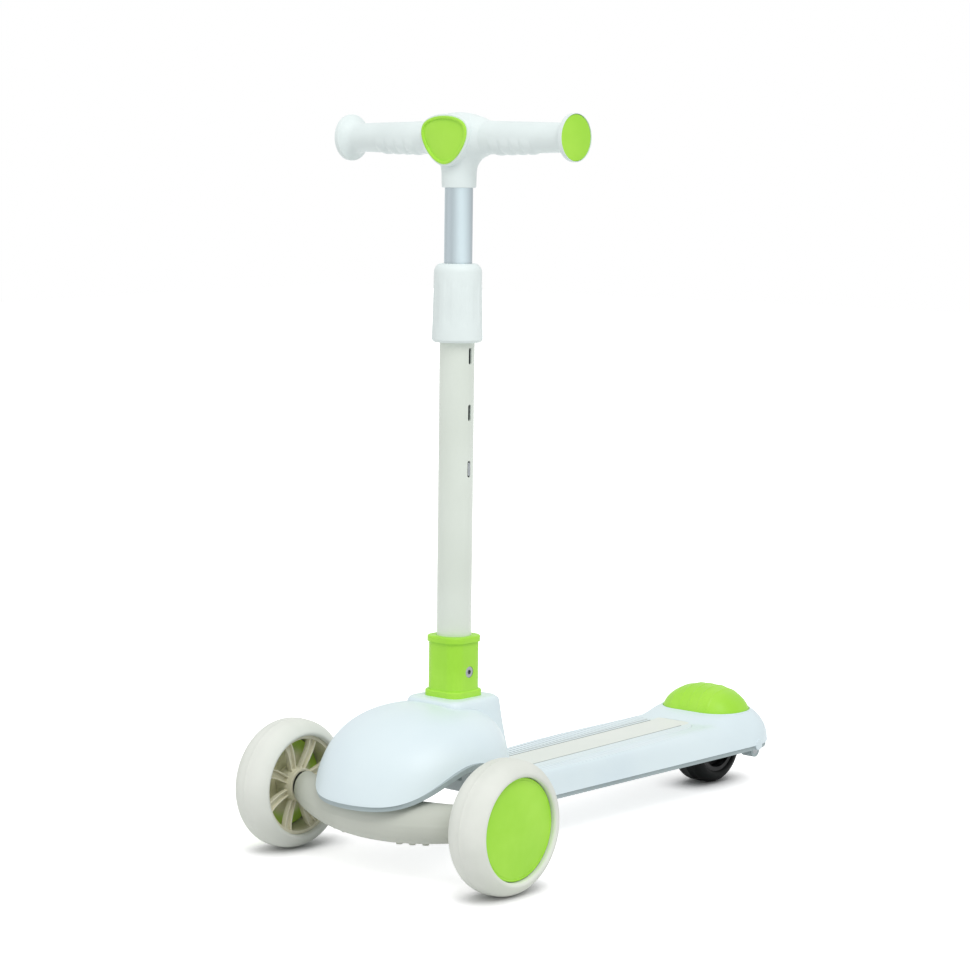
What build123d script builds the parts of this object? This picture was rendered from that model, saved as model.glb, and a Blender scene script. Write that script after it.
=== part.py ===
from build123d import *
import os
from math import cos, radians, sin

# Three-wheel lean-to-steer kick scooter with a telescopic stem.
# Millimetres, +X to the rider's left, +Y to the rear, +Z up. The origin is on the floor, in the
# middle of the length and of the width.

os.makedirs("parts", exist_ok=True)

# Fits
running_gap = 0.05
sliding_gap = 0.1
moving_gap = 0.3
shell_gap = 0.2

# Layout from nose to tail
nose_reach = 66.0
wheel_base = 469.0
tail_reach = 47.0
front_axle_y = (nose_reach - wheel_base - tail_reach) / 2
rear_axle_y = front_axle_y + wheel_base
nose_tip_y = front_axle_y - nose_reach
tail_y = rear_axle_y + tail_reach

# Front wheels
front_track = 260.0
front_wheel_radius = 60.0
front_tyre_width = 40.0
front_tread_width = 8.0
front_seat_width = 33.0
front_seat_radius = 46.0
front_widest_radius = 50.0
front_rim_wall = 4.5
front_rim_inner_side = 15.0
front_rim_outer_side = 12.0
front_boss_radius = 15.5
front_boss_inner_side = 16.0
front_boss_outer_side = 4.0
spoke_pairs = 10
spoke_width = 2.6
spoke_depth = 9.0
spoke_recess = 2.0
spoke_sweep = 17.0
spoke_bow = 5.0
spoke_split = 11.0
spoke_bite = 1.0
cap_radius = 45.3
cap_thickness = 3.5
cap_crown = 1.6
cap_clip_depth = 6.0
cap_clip_wall = 1.5

# Bearings, the same in all three wheels
bearing_radius = 11.0
bearing_width = 7.0
bearing_spacer_wall = 2.0
bearing_shoulder = 2.0
axle_radius = 4.0
bolt_head_size = 13.0
bolt_head_height = 5.3
bolt_head_clearance = 2.0
front_axle_grip = 28.0

# Front beam
beam_end_radius = 14.75
beam_middle_radius = 20.0
beam_bow = 31.5
beam_dip = 5.0
beam_end_gap = 0.5
beam_sections = 9
beam_screw_radius = 1.8
beam_screw_head_radius = 3.0
beam_screw_head_stand = 1.2
beam_screw_head_height = 2.4
beam_screw_length = 12.0
beam_screw_first = 33.0
beam_screw_step = 13.0
beam_screws_a_side = 3

# Steering pivot
pivot_lean = 20.0
pivot_setback = -22.0
pivot_height = 55.0
pivot_boss_radius = 13.0
pivot_boss_bottom = -14.0
pivot_boss_top = 23.5
pivot_hole_gap = 1.0
kingpin_radius = 5.0
kingpin_head_height = 6.0
centring_bush_height = 4.0
sleeve_radius = 14.0
sleeve_length = 13.0
bush_wall = 2.0
washer_radius = 10.0
washer_thickness = 1.5
kingpin_nut_size = 15.0
kingpin_nut_height = 6.0

# White mouldings
wall = 3.0
egg_half_width = 84.0
egg_half_length = 87.0
egg_base_z = 72.9
egg_height = 71.7
egg_lean_back = 20.0
egg_roundness = 2.64
egg_levels = (0.0, 0.3, 0.52, 0.7, 0.83, 0.92, 0.975)
nose_edge_z = 72.0
arch_top_z = 105.0
arch_top_reach = 20.0
arch_end_reach = 142.0
deck_edge_z = 46.0
edge_ease = 0.37
deck_top_z = 70.0
deck_front_reach = 84.0
deck_front_half_width = 46.0
deck_rear_half_width = 69.0
deck_side_lean = 12.0
deck_tail_radius = 50.0
deck_top_radius = 7.0
tower_foot_z = 60.0
tower_foot_width = 82.0
tower_foot_front = 42.0
tower_foot_rear = 128.0
tower_top_width = 63.0
tower_top_front = 47.0
tower_top_rear = 107.0
tower_corner_radius = 11.0
tower_top_radius = 4.0

# Hump round the brake
hump_foot_width = 110.0
hump_foot_front = 58.0
hump_foot_rear = 37.0
hump_foot_corner = 38.0
hump_top_width = 98.0
hump_top_front = 39.0
hump_top_rear = 33.0
hump_top_corner = 31.0
hump_top_z = 77.0

# Grey chassis
edge_band = 4.5
edge_inset = 1.5
rib_thickness = 3.0
rib_spacing = 48.0
rib_front_reach = 160.0
rib_rear_reach = 400.0
post_width = 48.0
post_top_drop = 4.0
post_depth = 95.0
screw_radius = 2.0
screw_head_radius = 4.0
screw_head_height = 2.5
screw_boss_radius = 4.5
screw_bite = 12.0
deck_screw_half_spacing = 34.0
deck_screw_reaches = (165.0, 270.0, 375.0)
nose_screw_half_spacing = 48.0
nose_screw_reach = 20.0

# Deck pad
pad_half_width = 32.5
pad_front_reach = 134.0
pad_rear_reach = 407.0
pad_corner_radius = 16.0
pad_recess = 1.5
pad_stand = 0.4
pad_band_half_width = 20.0
pad_band_rise = 0.8
pad_groove_width = 1.6
pad_groove_depth = 1.0

# Rear wheel
rear_wheel_radius = 40.0
rear_tyre_width = 34.0
rear_tread_width = 16.0
rear_seat_width = 30.0
rear_seat_radius = 28.0
rear_widest_radius = 32.0
rear_boss_radius = 15.5
rear_web_thickness = 10.0
rear_rim_wall = 4.0
wheel_slot_gap = 3.0
carrier_thickness = 4.0
carrier_half_length = 9.0
carrier_top = 14.0
carrier_gap = 4.0
axle_boss_radius = 7.0
axle_boss_length = 13.0
axle_boss_start = 48.0
lobe_radius = 5.5
lobe_thickness = 4.0

# Rear brake
brake_width = 94.0
brake_length = 65.0
brake_shift = -1.5
brake_corner = 30.0
brake_skirt_z = 66.0
brake_top_z = 100.0
brake_wall = 3.0
brake_roundness = 2.2
brake_levels = (0.0, 0.25, 0.5, 0.7, 0.85, 0.95)
brake_gap = 1.0
brake_rib_count = 5
brake_rib_spacing = 11.0
brake_rib_width = 2.4
brake_rib_height = 0.8
brake_rib_foot_z = 79.0
brake_rib_inset = 5.0
brake_pin_ahead = 39.0
brake_pin_z = 64.0
brake_pin_radius = 2.5
brake_barrel_radius = 4.2
brake_barrel_start = 20.5
brake_barrel_length = 8.0
brake_lug_thickness = 4.0
brake_lug_half_length = 3.6
brake_arm_thickness = 6.0
brake_arm_length = 16.0
brake_arm_overlap = 2.5
brake_pad_width = 30.0
brake_pad_length = 26.0
brake_pad_gap = 5.0
brake_spring_thickness = 0.8
brake_spring_width = 5.0
brake_spring_foot = 16.0
brake_spring_x = 24.5
brake_spring_run = 14.0
brake_spring_reach = 3.0
brake_spring_hook = 2.0
brake_spring_hook_rise = 3.5
brake_spring_bend = 2.0

# Stem
stem_rake = 1.1
stem_reach = 80.0
platform_z = 147.5
flange_width = 42.0
flange_corner = 10.0
flange_height = 6.0
flange_round = 1.5
socket_width = 39.0
socket_corner = 12.0
socket_height = 55.5
socket_lip_width = 42.0
socket_lip_corner = 13.5
socket_lip_height = 5.5
socket_lip_round = 1.5
spigot_width = 36.0
spigot_corner = 8.0
spigot_length = 42.0
outer_tube_radius = 15.9
outer_tube_wall = 1.5
outer_tube_foot = 8.0
outer_tube_top = 383.0
socket_bolt_height = 23.0
socket_bolt_radius = 3.0
socket_bolt_head_radius = 5.0
socket_bolt_head_height = 3.0
socket_nut_height = 3.0
socket_hex_size = 4.0
socket_hex_depth = 2.2
socket_nut_size = 10.0
stem_bolt_radius = 4.0
stem_bolt_bite = 22.0
stem_bolt_seat = 28.0
slot_count = 3
slot_pitch = 50.9
slot_first_height = 207.6
slot_length = 15.0
slot_width = 3.8
collar_bottom = 321.5
collar_height = 70.5
collar_foot_radius = 22.3
collar_top_radius = 20.8
collar_shoulder = 8.0
collar_shoulder_width = 6.4
collar_foot_round = 2.0
collar_flutes = 10
collar_flute_radius = 7.0
collar_flute_depth = 0.9
collar_flute_bottom = 17.0
collar_flute_length = 38.0
guide_length = 30.0
guide_flange_height = 3.0
inner_tube_radius = 12.7
inner_tube_wall = 1.5
inner_tube_foot = 150.0
inner_tube_top = 478.0
button_length = 12.6
button_width = 3.0
button_tip = 14.25
button_root = 8.8
button_flange_thickness = 2.0
button_flange_length = 18.0
button_flange_width = 6.0
button_hole_gap = 0.3
button_spring_thickness = 0.6
button_spring_width = 5.0
button_spring_drop = 34.0
button_spring_inset = 0.9
button_spring_bend = 3.0

# Handlebar
neck_bottom = 459.5
bar_height = 504.0
neck_radius = 15.5
neck_waist_height = 470.0
neck_waist_radius = 16.1
neck_flare_height = 480.0
neck_flare_radius = 18.6
neck_top_radius = 21.5
body_half_width = 36.0
body_end_radius = 15.0
body_shoulder_half_width = 24.0
body_shoulder_radius = 19.0
body_crown_radius = 22.5
bar_tube_radius = 9.5
bar_tube_wall = 2.0
bar_half_length = 128.0
bar_half_width = 134.5
grip_inner_radius = 14.8
grip_outer_radius = 13.0
grip_flange_radius = 21.2
grip_flange_width = 7.0
grip_flange_round = 0.7
grip_neck_length = 7.0
grip_bumps = 4
grip_bump_start = 14.0
grip_bump_step = 12.0
grip_bump_width = 8.0
grip_bump_drop = 1.5
grip_bump_radius = 14.4
end_cap_radius = 20.3
end_cap_thickness = 3.0
end_cap_round = 1.0
badge_top_half_spacing = 14.3
badge_top_rise = 8.3
badge_top_radius = 11.5
badge_foot_drop = 9.6
badge_foot_radius = 11.6
badge_reach = 22.5
badge_thickness = 4.0
badge_rim_width = 2.4
badge_rim_height = 1.4
badge_seat_inset = 1.2
neck_screw_radius = 2.5
neck_screw_head_radius = 4.5
neck_screw_head_height = 2.5
neck_screw_height = 469.0

# Planes and axes that several pieces share
rake_sin = sin(radians(stem_rake))
rake_cos = cos(radians(stem_rake))
lean_sin = sin(radians(pivot_lean))
lean_cos = cos(radians(pivot_lean))
stem_y = front_axle_y + stem_reach
stem_up = Vector(0, rake_sin, rake_cos)
stem_foot = Vector(0, stem_y, platform_z)
stem = Plane(origin=stem_foot, x_dir=(1, 0, 0), z_dir=stem_up)
stem_section = Plane(origin=stem_foot, x_dir=(1, 0, 0), z_dir=(0, -rake_cos, rake_sin))
stem_side = Plane(origin=stem_foot, x_dir=stem_up, z_dir=(1, 0, 0))
stem_axis = Axis(stem_foot, stem_up)
bar_center = stem_foot + stem_up * bar_height
bar_section = Plane(origin=bar_center, x_dir=(1, 0, 0), z_dir=(0, -1, 0))
bar_axis = Axis(bar_center, (1, 0, 0))
pivot_y = front_axle_y + pivot_setback
pivot_point = Vector(0, pivot_y, pivot_height)
pivot = Plane(origin=pivot_point, x_dir=(1, 0, 0), z_dir=(0, -lean_sin, lean_cos))
front_axle_axis = Axis((0, front_axle_y, front_wheel_radius), (1, 0, 0))
rear_axle_axis = Axis((0, rear_axle_y, rear_wheel_radius), (1, 0, 0))
front_wheel_x = front_track / 2
beam_end = front_wheel_x - front_boss_inner_side - beam_end_gap
far = front_track
outer_bore = outer_tube_radius - outer_tube_wall
bearing_bore = axle_radius + running_gap
bolt_head_room = bolt_head_size / 2 / cos(radians(30)) + bolt_head_clearance
kingpin_bore = kingpin_radius + running_gap
kingpin_seat = pivot_boss_bottom + kingpin_head_height
sleeve_start = pivot_boss_top + centring_bush_height + moving_gap
nut_start = sleeve_start + sleeve_length + moving_gap + washer_thickness
carrier_x = rear_tyre_width / 2 + carrier_gap
brake_lug_x = brake_barrel_start + brake_barrel_length + moving_gap
deck_screw_seat = deck_edge_z - edge_band + screw_head_height
nose_screw_seat = arch_top_z - edge_band + screw_head_height
socket_bolt_plane = Plane(origin=stem_foot + stem_up * socket_bolt_height, x_dir=(0, 1, 0), z_dir=(1, 0, 0))
socket_bolt_seat = outer_tube_radius + shell_gap
neck_screw_plane = Plane(origin=stem_foot + stem_up * neck_screw_height, x_dir=(1, 0, 0),
                         z_dir=(0, rake_cos, -rake_sin))
neck_screw_seat = neck_radius - neck_screw_head_height / 2
badge_seat = badge_reach - badge_thickness
brake_y = rear_axle_y + brake_shift
brake_pin_y = rear_axle_y - brake_pin_ahead


def across(x, y, z):
    """A plane square to the X axis, with its own x to the rear and its own y up."""
    return Plane(origin=(x, y, z), x_dir=(0, 1, 0), z_dir=(1, 0, 0))


def section(x, y, z):
    """A plane along the X axis, with its own x along X and its own y up."""
    return Plane(origin=(x, y, z), x_dir=(1, 0, 0), z_dir=(0, -1, 0))


def rod(plane, start, length, radius, bore=0.0, mode=Mode.ADD):
    """A round bar or tube square to a plane."""
    with BuildSketch(plane.offset(start)) as profile:
        Circle(radius)
        if bore:
            Circle(bore, mode=Mode.SUBTRACT)
    extrude(profile.sketch, amount=length, mode=mode)


def hexagon(plane, start, length, across_flats, mode=Mode.ADD):
    """A six-sided bar square to a plane."""
    with BuildSketch(plane.offset(start)) as profile:
        RegularPolygon(across_flats / 2, 6, major_radius=False)
    extrude(profile.sketch, amount=length, mode=mode)


def square_bar(plane, start, length, width, corner, mode=Mode.ADD):
    """A square bar with round corners, square to a plane."""
    with BuildSketch(plane.offset(start)) as profile:
        RectangleRounded(width, width, corner)
    extrude(profile.sketch, amount=length, mode=mode)


def block(x_span, y_span, z_span, mode=Mode.ADD):
    """A box between pairs of coordinates."""
    with BuildSketch(Plane.XY.offset(z_span[0])) as profile:
        with Locations(((x_span[0] + x_span[1]) / 2, (y_span[0] + y_span[1]) / 2)):
            Rectangle(x_span[1] - x_span[0], y_span[1] - y_span[0])
    extrude(profile.sketch, amount=z_span[1] - z_span[0], mode=mode)


def polar(radius, angle):
    """A point of a sketch at a radius and an angle."""
    return (radius * cos(radians(angle)), radius * sin(radians(angle)))


def finish(part, name):
    """Name a piece and write it."""
    part.label = name
    export_step(part, f"parts/{name}.step")


def tyre_profile(plane, outer, seat, widest, width, seat_width, tread_width):
    """Half of a round-shouldered tyre section and its mirror image."""
    with BuildSketch(plane) as profile:
        with BuildLine():
            tread = Line((0, outer), (tread_width / 2, outer))
            side = TangentArc(tread @ 1, (width / 2, widest), tangent=(1, 0))
            bead = TangentArc(side @ 1, (seat_width / 2, seat), tangent=side % 1)
            Line(bead @ 1, (0, seat))
            mirror(about=Plane.YZ)
        make_face()
    return profile.sketch


def mirrored(part):
    """The same piece on the other side of the scooter."""
    return mirror(part, about=Plane.YZ, mode=Mode.PRIVATE)


def edge_profile(drop):
    """Everything below the lower edge of the white mouldings, lowered by a drop."""
    floor_z = -10.0
    front_y = nose_tip_y - nose_reach
    back_y = tail_y + tail_reach
    arch_y = front_axle_y + arch_top_reach
    arch_end_y = front_axle_y + arch_end_reach
    rise = edge_ease * (arch_y - nose_tip_y)
    fall = edge_ease * (arch_end_y - arch_y)
    nose_z = nose_edge_z - drop
    arch_z = arch_top_z - drop
    deck_z = deck_edge_z - drop
    with BuildSketch(Plane.YZ) as profile:
        with BuildLine():
            Polyline((nose_tip_y, nose_z), (front_y, nose_z), (front_y, floor_z), (back_y, floor_z),
                     (back_y, deck_z), (arch_end_y, deck_z))
            Bezier((arch_end_y, deck_z), (arch_end_y - fall, deck_z), (arch_y + fall, arch_z),
                   (arch_y, arch_z))
            Bezier((arch_y, arch_z), (arch_y - rise, arch_z), (nose_tip_y + rise, nose_z),
                   (nose_tip_y, nose_z))
        make_face()
    with BuildPart() as below:
        extrude(profile.sketch, amount=far, both=True)
    return below.part


def deck_outline(inset):
    """The deck seen from above, wider at the rear, with a round tail."""
    front_y = front_axle_y + deck_front_reach
    with BuildSketch() as outline:
        with BuildLine():
            Polyline((deck_front_half_width, front_y), (deck_rear_half_width, tail_y),
                     (-deck_rear_half_width, tail_y), (-deck_front_half_width, front_y), close=True)
        make_face()
        fillet(outline.vertices().group_by(Axis.Y)[-1], deck_tail_radius)
        if inset:
            offset(amount=-inset, kind=Kind.INTERSECTION, mode=Mode.REPLACE)
    return outline.sketch


def deck_form(inset, bottom_z):
    """The deck with leaning sides, or its hollow when inset by a wall."""
    top = deck_outline(deck_side_lean + inset).moved(Location((0, 0, deck_top_z - inset)))
    lean = deck_side_lean * (deck_top_z - inset - bottom_z) / (deck_top_z - deck_edge_z)
    foot = deck_outline(inset + deck_side_lean - lean).moved(Location((0, 0, bottom_z)))
    with BuildPart() as form:
        loft([foot, top], ruled=True)
        if not inset:
            fillet(form.faces().sort_by(Axis.Z)[-1].edges(), deck_top_radius)
    return form.part


def rounded_slab(width, front_y, rear_y, corner, z):
    """A rounded rectangle between two places along the length, at a height."""
    with BuildSketch(Plane.XY.offset(z)) as slab:
        with Locations((0, (front_y + rear_y) / 2)):
            RectangleRounded(width, rear_y - front_y, corner)
    return slab.sketch


def tower_form(inset, foot_z):
    """The neck tower, narrower at the top, or its hollow when inset by a wall."""
    top_z = platform_z + tower_top_radius
    foot = rounded_slab(tower_foot_width - 2 * inset, front_axle_y + tower_foot_front + inset,
                        front_axle_y + tower_foot_rear - inset, tower_corner_radius, foot_z)
    top = rounded_slab(tower_top_width - 2 * inset, front_axle_y + tower_top_front + inset,
                       front_axle_y + tower_top_rear - inset, tower_corner_radius, top_z)
    with BuildPart() as form:
        loft([foot, top], ruled=True)
        split(bisect_by=stem.offset(-inset), keep=Keep.BOTTOM)
        if not inset:
            fillet(form.faces().sort_by(Axis.Z)[-1].edges(), tower_top_radius)
    return form.part


def hump_form(inset):
    """The low hump round the brake, or its hollow when inset by a wall."""
    foot = rounded_slab(hump_foot_width - 2 * inset, rear_axle_y - hump_foot_front + inset,
                        rear_axle_y + hump_foot_rear - inset, hump_foot_corner, deck_top_z - wall - inset)
    top = rounded_slab(hump_top_width - 2 * inset, rear_axle_y - hump_top_front + inset,
                       rear_axle_y + hump_top_rear - inset, hump_top_corner, hump_top_z - inset)
    with BuildPart() as form:
        loft([foot, top], ruled=True)
    return form.part


def level_scale(level, roundness):
    """Width of a rounded form at a share of its height."""
    return (1 - level**roundness) ** (1 / roundness)


def egg_form(inset):
    """The nose: ellipses that shrink and lean back as they rise, on a straight skirt."""
    center_y = nose_tip_y + egg_half_length
    levels = []
    for level in egg_levels:
        scale_now = level_scale(level, egg_roundness)
        with BuildSketch(Plane.XY.offset(egg_base_z + level * (egg_height - inset))) as outline:
            with Locations((0, center_y + egg_lean_back * level)):
                Ellipse((egg_half_width - inset) * scale_now, (egg_half_length - inset) * scale_now)
        levels.append(outline.sketch)
    crown = Vertex(0, center_y + egg_lean_back, egg_base_z + egg_height - inset)
    with BuildPart() as form:
        loft([*levels, crown])
        extrude(levels[0], amount=-egg_base_z)
    return form.part


def pad_outline(margin, z):
    """The foot pad seen from above."""
    return rounded_slab(2 * (pad_half_width + margin), front_axle_y + pad_front_reach - margin,
                        front_axle_y + pad_rear_reach + margin, pad_corner_radius, z)


def beam_screw_plane(x):
    """A plane at the beam's underside, facing up."""
    bow = 1 - (x / beam_end) ** 2
    drop = beam_dip * bow + beam_end_radius + (beam_middle_radius - beam_end_radius) * bow
    return Plane(origin=(x, front_axle_y - beam_bow * bow, front_wheel_radius - drop))


def brake_form(inset):
    """The brake dome: rounded slabs that shrink as they rise, or its hollow when inset by a wall."""
    levels = []
    for level in brake_levels:
        scale_now = level_scale(level, brake_roundness)
        half_length = (brake_length / 2 - inset) * scale_now
        z = brake_skirt_z + level * (brake_top_z - inset - brake_skirt_z)
        levels.append(rounded_slab((brake_width - 2 * inset) * scale_now, brake_y - half_length,
                                   brake_y + half_length, (brake_corner - inset) * scale_now, z))
    with BuildPart() as form:
        loft(levels)
    return form.part


def badge_outline(margin, reach):
    """The badge's upside-down triangle with round corners, at a reach ahead of the bar."""
    with BuildSketch(bar_section.offset(reach)) as outline:
        with Locations((-badge_top_half_spacing, badge_top_rise), (badge_top_half_spacing, badge_top_rise)):
            Circle(badge_top_radius + margin)
        with Locations((0, -badge_foot_drop)):
            Circle(badge_foot_radius + margin)
        make_hull()
    return outline.sketch


# Shared forms
deck_outer = deck_form(0, deck_edge_z)
deck_hollow = deck_form(wall, deck_edge_z - wall)
tower_outer = tower_form(0, tower_foot_z)
tower_hollow = tower_form(wall, tower_foot_z - wall)
tower_clear = tower_form(-shell_gap, tower_foot_z)
hump_outer = hump_form(0)
hump_hollow = hump_form(wall)
egg_outer = egg_form(0)
egg_hollow = egg_form(wall)
below_edge = edge_profile(0)
below_band = edge_profile(edge_band)
deck_clear = deck_form(-shell_gap, deck_edge_z)
brake_bay = brake_form(-brake_gap)
lobe_x = deck_rear_half_width - wall - lobe_thickness / 2
deck_screws = [(side * deck_screw_half_spacing, front_axle_y + reach)
               for reach in deck_screw_reaches for side in (-1, 1)]
beam_screw_spots = [beam_screw_plane(side * (beam_screw_first + index * beam_screw_step))
                    for index in range(beam_screws_a_side) for side in (-1, 1)]
nose_screws = [(side * nose_screw_half_spacing, front_axle_y + nose_screw_reach) for side in (-1, 1)]


# White mouldings
with BuildPart() as deck_shell:
    add(deck_outer)
    add(tower_outer)
    add(hump_outer)
    add(deck_hollow, mode=Mode.SUBTRACT)
    add(tower_hollow, mode=Mode.SUBTRACT)
    add(hump_hollow, mode=Mode.SUBTRACT)
    for spot in deck_screws:
        rod(Plane(origin=(*spot, 0)), deck_edge_z, deck_top_z - wall - deck_edge_z, screw_boss_radius,
            screw_radius)
    add(below_edge, mode=Mode.SUBTRACT)
    for side in (-1, 1):
        lobe = across(side * lobe_x, rear_axle_y, deck_edge_z)
        rod(lobe, -lobe_thickness / 2, lobe_thickness, lobe_radius)
    square_bar(stem, -2 * wall, 3 * wall, spigot_width + 2 * shell_gap, spigot_corner, mode=Mode.SUBTRACT)
    extrude(pad_outline(shell_gap, deck_top_z), amount=-pad_recess, mode=Mode.SUBTRACT)
    add(brake_bay, mode=Mode.SUBTRACT)
finish(deck_shell.part, "deck_shell")

with BuildPart() as nose_cover:
    add(egg_outer)
    add(egg_hollow, mode=Mode.SUBTRACT)
    for spot in nose_screws:
        rod(Plane(origin=(*spot, 0)), nose_edge_z, egg_height - wall, screw_boss_radius, screw_radius)
    add(egg_outer, mode=Mode.INTERSECT)
    add(below_edge, mode=Mode.SUBTRACT)
    add(tower_clear, mode=Mode.SUBTRACT)
    add(deck_clear, mode=Mode.SUBTRACT)
finish(nose_cover.part, "nose_cover")

# Grey chassis
with BuildPart() as base_frame:
    with BuildSketch() as plate_outline:
        with Locations((0, nose_tip_y + egg_half_length)):
            Ellipse(egg_half_width - edge_inset, egg_half_length - edge_inset)
        add(deck_outline(edge_inset))
    extrude(amount=arch_top_z + edge_band)
    add(below_edge, mode=Mode.INTERSECT)
    square_bar(stem, -post_depth, post_depth - post_top_drop, post_width, spigot_corner)
    for side in (-1, 1):
        rib_x = side * rib_spacing / 2
        block((rib_x - rib_thickness / 2, rib_x + rib_thickness / 2),
              (front_axle_y + rib_front_reach, front_axle_y + rib_rear_reach),
              (deck_edge_z - edge_band, deck_top_z - wall - shell_gap))
    add(below_band, mode=Mode.SUBTRACT)
    rod(pivot, 0, sleeve_start, pivot_boss_radius + pivot_hole_gap, mode=Mode.SUBTRACT)
    rod(pivot, sleeve_start, sleeve_length, sleeve_radius)
    for side in (-1, 1):
        carrier = sorted((side * carrier_x, side * (carrier_x + carrier_thickness)))
        block(carrier, (rear_axle_y - carrier_half_length, rear_axle_y + carrier_half_length),
              (rear_wheel_radius - axle_boss_radius, rear_wheel_radius + carrier_top))
        boss = across(side * axle_boss_start, rear_axle_y, rear_wheel_radius)
        rod(boss, 0, side * axle_boss_length, axle_boss_radius)
        lug = sorted((side * brake_lug_x, side * (brake_lug_x + brake_lug_thickness)))
        block(lug, (brake_pin_y - brake_lug_half_length, brake_pin_y + brake_lug_half_length),
              (deck_edge_z - edge_band, brake_pin_z))
        lug_eye = across(side * brake_lug_x, brake_pin_y, brake_pin_z)
        rod(lug_eye, 0, side * brake_lug_thickness, brake_lug_half_length)
        lobe = across(side * lobe_x, rear_axle_y, deck_edge_z)
        rod(lobe, -lobe_thickness, 2 * lobe_thickness, lobe_radius + shell_gap, mode=Mode.SUBTRACT)
    rod(pivot, sleeve_start, sleeve_length, kingpin_bore + bush_wall, mode=Mode.SUBTRACT)
    square_bar(stem, -spigot_length, spigot_length, spigot_width, spigot_corner, mode=Mode.SUBTRACT)
    rod(stem, -post_depth, post_depth, stem_bolt_radius, mode=Mode.SUBTRACT)
    rod(stem, -spigot_length - stem_bolt_seat, -post_depth, bolt_head_room, mode=Mode.SUBTRACT)
    slot_half_length = rear_wheel_radius + wheel_slot_gap
    block((-carrier_x, carrier_x), (rear_axle_y - slot_half_length, rear_axle_y + slot_half_length),
          (0, deck_edge_z), mode=Mode.SUBTRACT)
    rod(across(0, rear_axle_y, rear_wheel_radius), -far / 2, far, axle_radius, mode=Mode.SUBTRACT)
    rod(across(0, brake_pin_y, brake_pin_z), -far / 2, far, brake_pin_radius, mode=Mode.SUBTRACT)
    for spot in (*deck_screws, *nose_screws):
        rod(Plane(origin=(*spot, 0)), 0, far, screw_radius, mode=Mode.SUBTRACT)
    for spot in deck_screws:
        rod(Plane(origin=(*spot, 0)), 0, deck_screw_seat, screw_head_radius, mode=Mode.SUBTRACT)
    for spot in nose_screws:
        rod(Plane(origin=(*spot, 0)), 0, nose_screw_seat, screw_head_radius, mode=Mode.SUBTRACT)
finish(base_frame.part, "base_frame")

with BuildPart() as frame_screws:
    for spots, seat in ((deck_screws, deck_screw_seat), (nose_screws, nose_screw_seat)):
        for spot in spots:
            rod(Plane(origin=(*spot, 0)), seat - screw_head_height, screw_head_height, screw_head_radius)
            rod(Plane(origin=(*spot, 0)), seat, screw_bite, screw_radius)
finish(frame_screws.part, "frame_screws")

with BuildPart() as deck_pad:
    extrude(pad_outline(0, deck_top_z - pad_recess), amount=pad_recess + pad_stand)
    band_y = (front_axle_y + pad_front_reach + pad_corner_radius, front_axle_y + pad_rear_reach)
    block((-pad_band_half_width, pad_band_half_width), band_y,
          (deck_top_z, deck_top_z + pad_stand + pad_band_rise))
    for side in (-1, 1):
        groove_x = side * (pad_band_half_width + pad_groove_width / 2)
        block((groove_x - pad_groove_width / 2, groove_x + pad_groove_width / 2), band_y,
              (deck_top_z + pad_stand - pad_groove_depth, deck_top_z + pad_stand), mode=Mode.SUBTRACT)
finish(deck_pad.part, "deck_pad")

# Steering pivot and front beam
with BuildPart() as axle_beam:
    beam_faces = []
    for index in range(beam_sections):
        share = 2 * index / (beam_sections - 1) - 1
        bow = 1 - share**2
        beam_plane = across(share * beam_end, front_axle_y - beam_bow * bow,
                            front_wheel_radius - beam_dip * bow)
        with BuildSketch(beam_plane, mode=Mode.PRIVATE) as beam_face:
            Circle(beam_end_radius + (beam_middle_radius - beam_end_radius) * bow)
        beam_faces.append(beam_face.sketch)
    loft(beam_faces)
    rod(pivot, pivot_boss_bottom, pivot_boss_top - pivot_boss_bottom, pivot_boss_radius)
    rod(pivot, pivot_boss_bottom, pivot_boss_top - pivot_boss_bottom, kingpin_radius, mode=Mode.SUBTRACT)
    rod(pivot, pivot_boss_bottom - far, far + kingpin_head_height, bolt_head_room, mode=Mode.SUBTRACT)
    for side in (-1, 1):
        end = across(side * beam_end, front_axle_y, front_wheel_radius)
        rod(end, 0, -side * front_axle_grip, axle_radius, mode=Mode.SUBTRACT)
    for spot in beam_screw_spots:
        rod(spot, beam_screw_head_height - beam_screw_head_stand, -far, beam_screw_head_radius,
            mode=Mode.SUBTRACT)
        rod(spot, 0, beam_screw_length, beam_screw_radius, mode=Mode.SUBTRACT)
finish(axle_beam.part, "axle_beam")

with BuildPart() as beam_screws:
    for spot in beam_screw_spots:
        rod(spot, -beam_screw_head_stand, beam_screw_head_height, beam_screw_head_radius)
        rod(spot, 0, beam_screw_length, beam_screw_radius)
finish(beam_screws.part, "beam_screws")

with BuildPart() as kingpin:
    rod(pivot, kingpin_seat, nut_start + kingpin_nut_height - kingpin_seat, kingpin_radius)
    hexagon(pivot, kingpin_seat - kingpin_head_height, kingpin_head_height, bolt_head_size)
finish(kingpin.part, "kingpin")

with BuildPart() as centring_bush:
    rod(pivot, pivot_boss_top + moving_gap, centring_bush_height - moving_gap, pivot_boss_radius,
        kingpin_bore)
finish(centring_bush.part, "centring_bush")

with BuildPart() as pivot_bush:
    rod(pivot, sleeve_start, sleeve_length, kingpin_bore + bush_wall, kingpin_bore)
finish(pivot_bush.part, "pivot_bush")

with BuildPart() as kingpin_washer:
    rod(pivot, nut_start - washer_thickness, washer_thickness, washer_radius, kingpin_radius)
finish(kingpin_washer.part, "kingpin_washer")

with BuildPart() as kingpin_nut:
    hexagon(pivot, nut_start, kingpin_nut_height, kingpin_nut_size)
    rod(pivot, nut_start, kingpin_nut_height, kingpin_radius, mode=Mode.SUBTRACT)
finish(kingpin_nut.part, "kingpin_nut")

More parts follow.
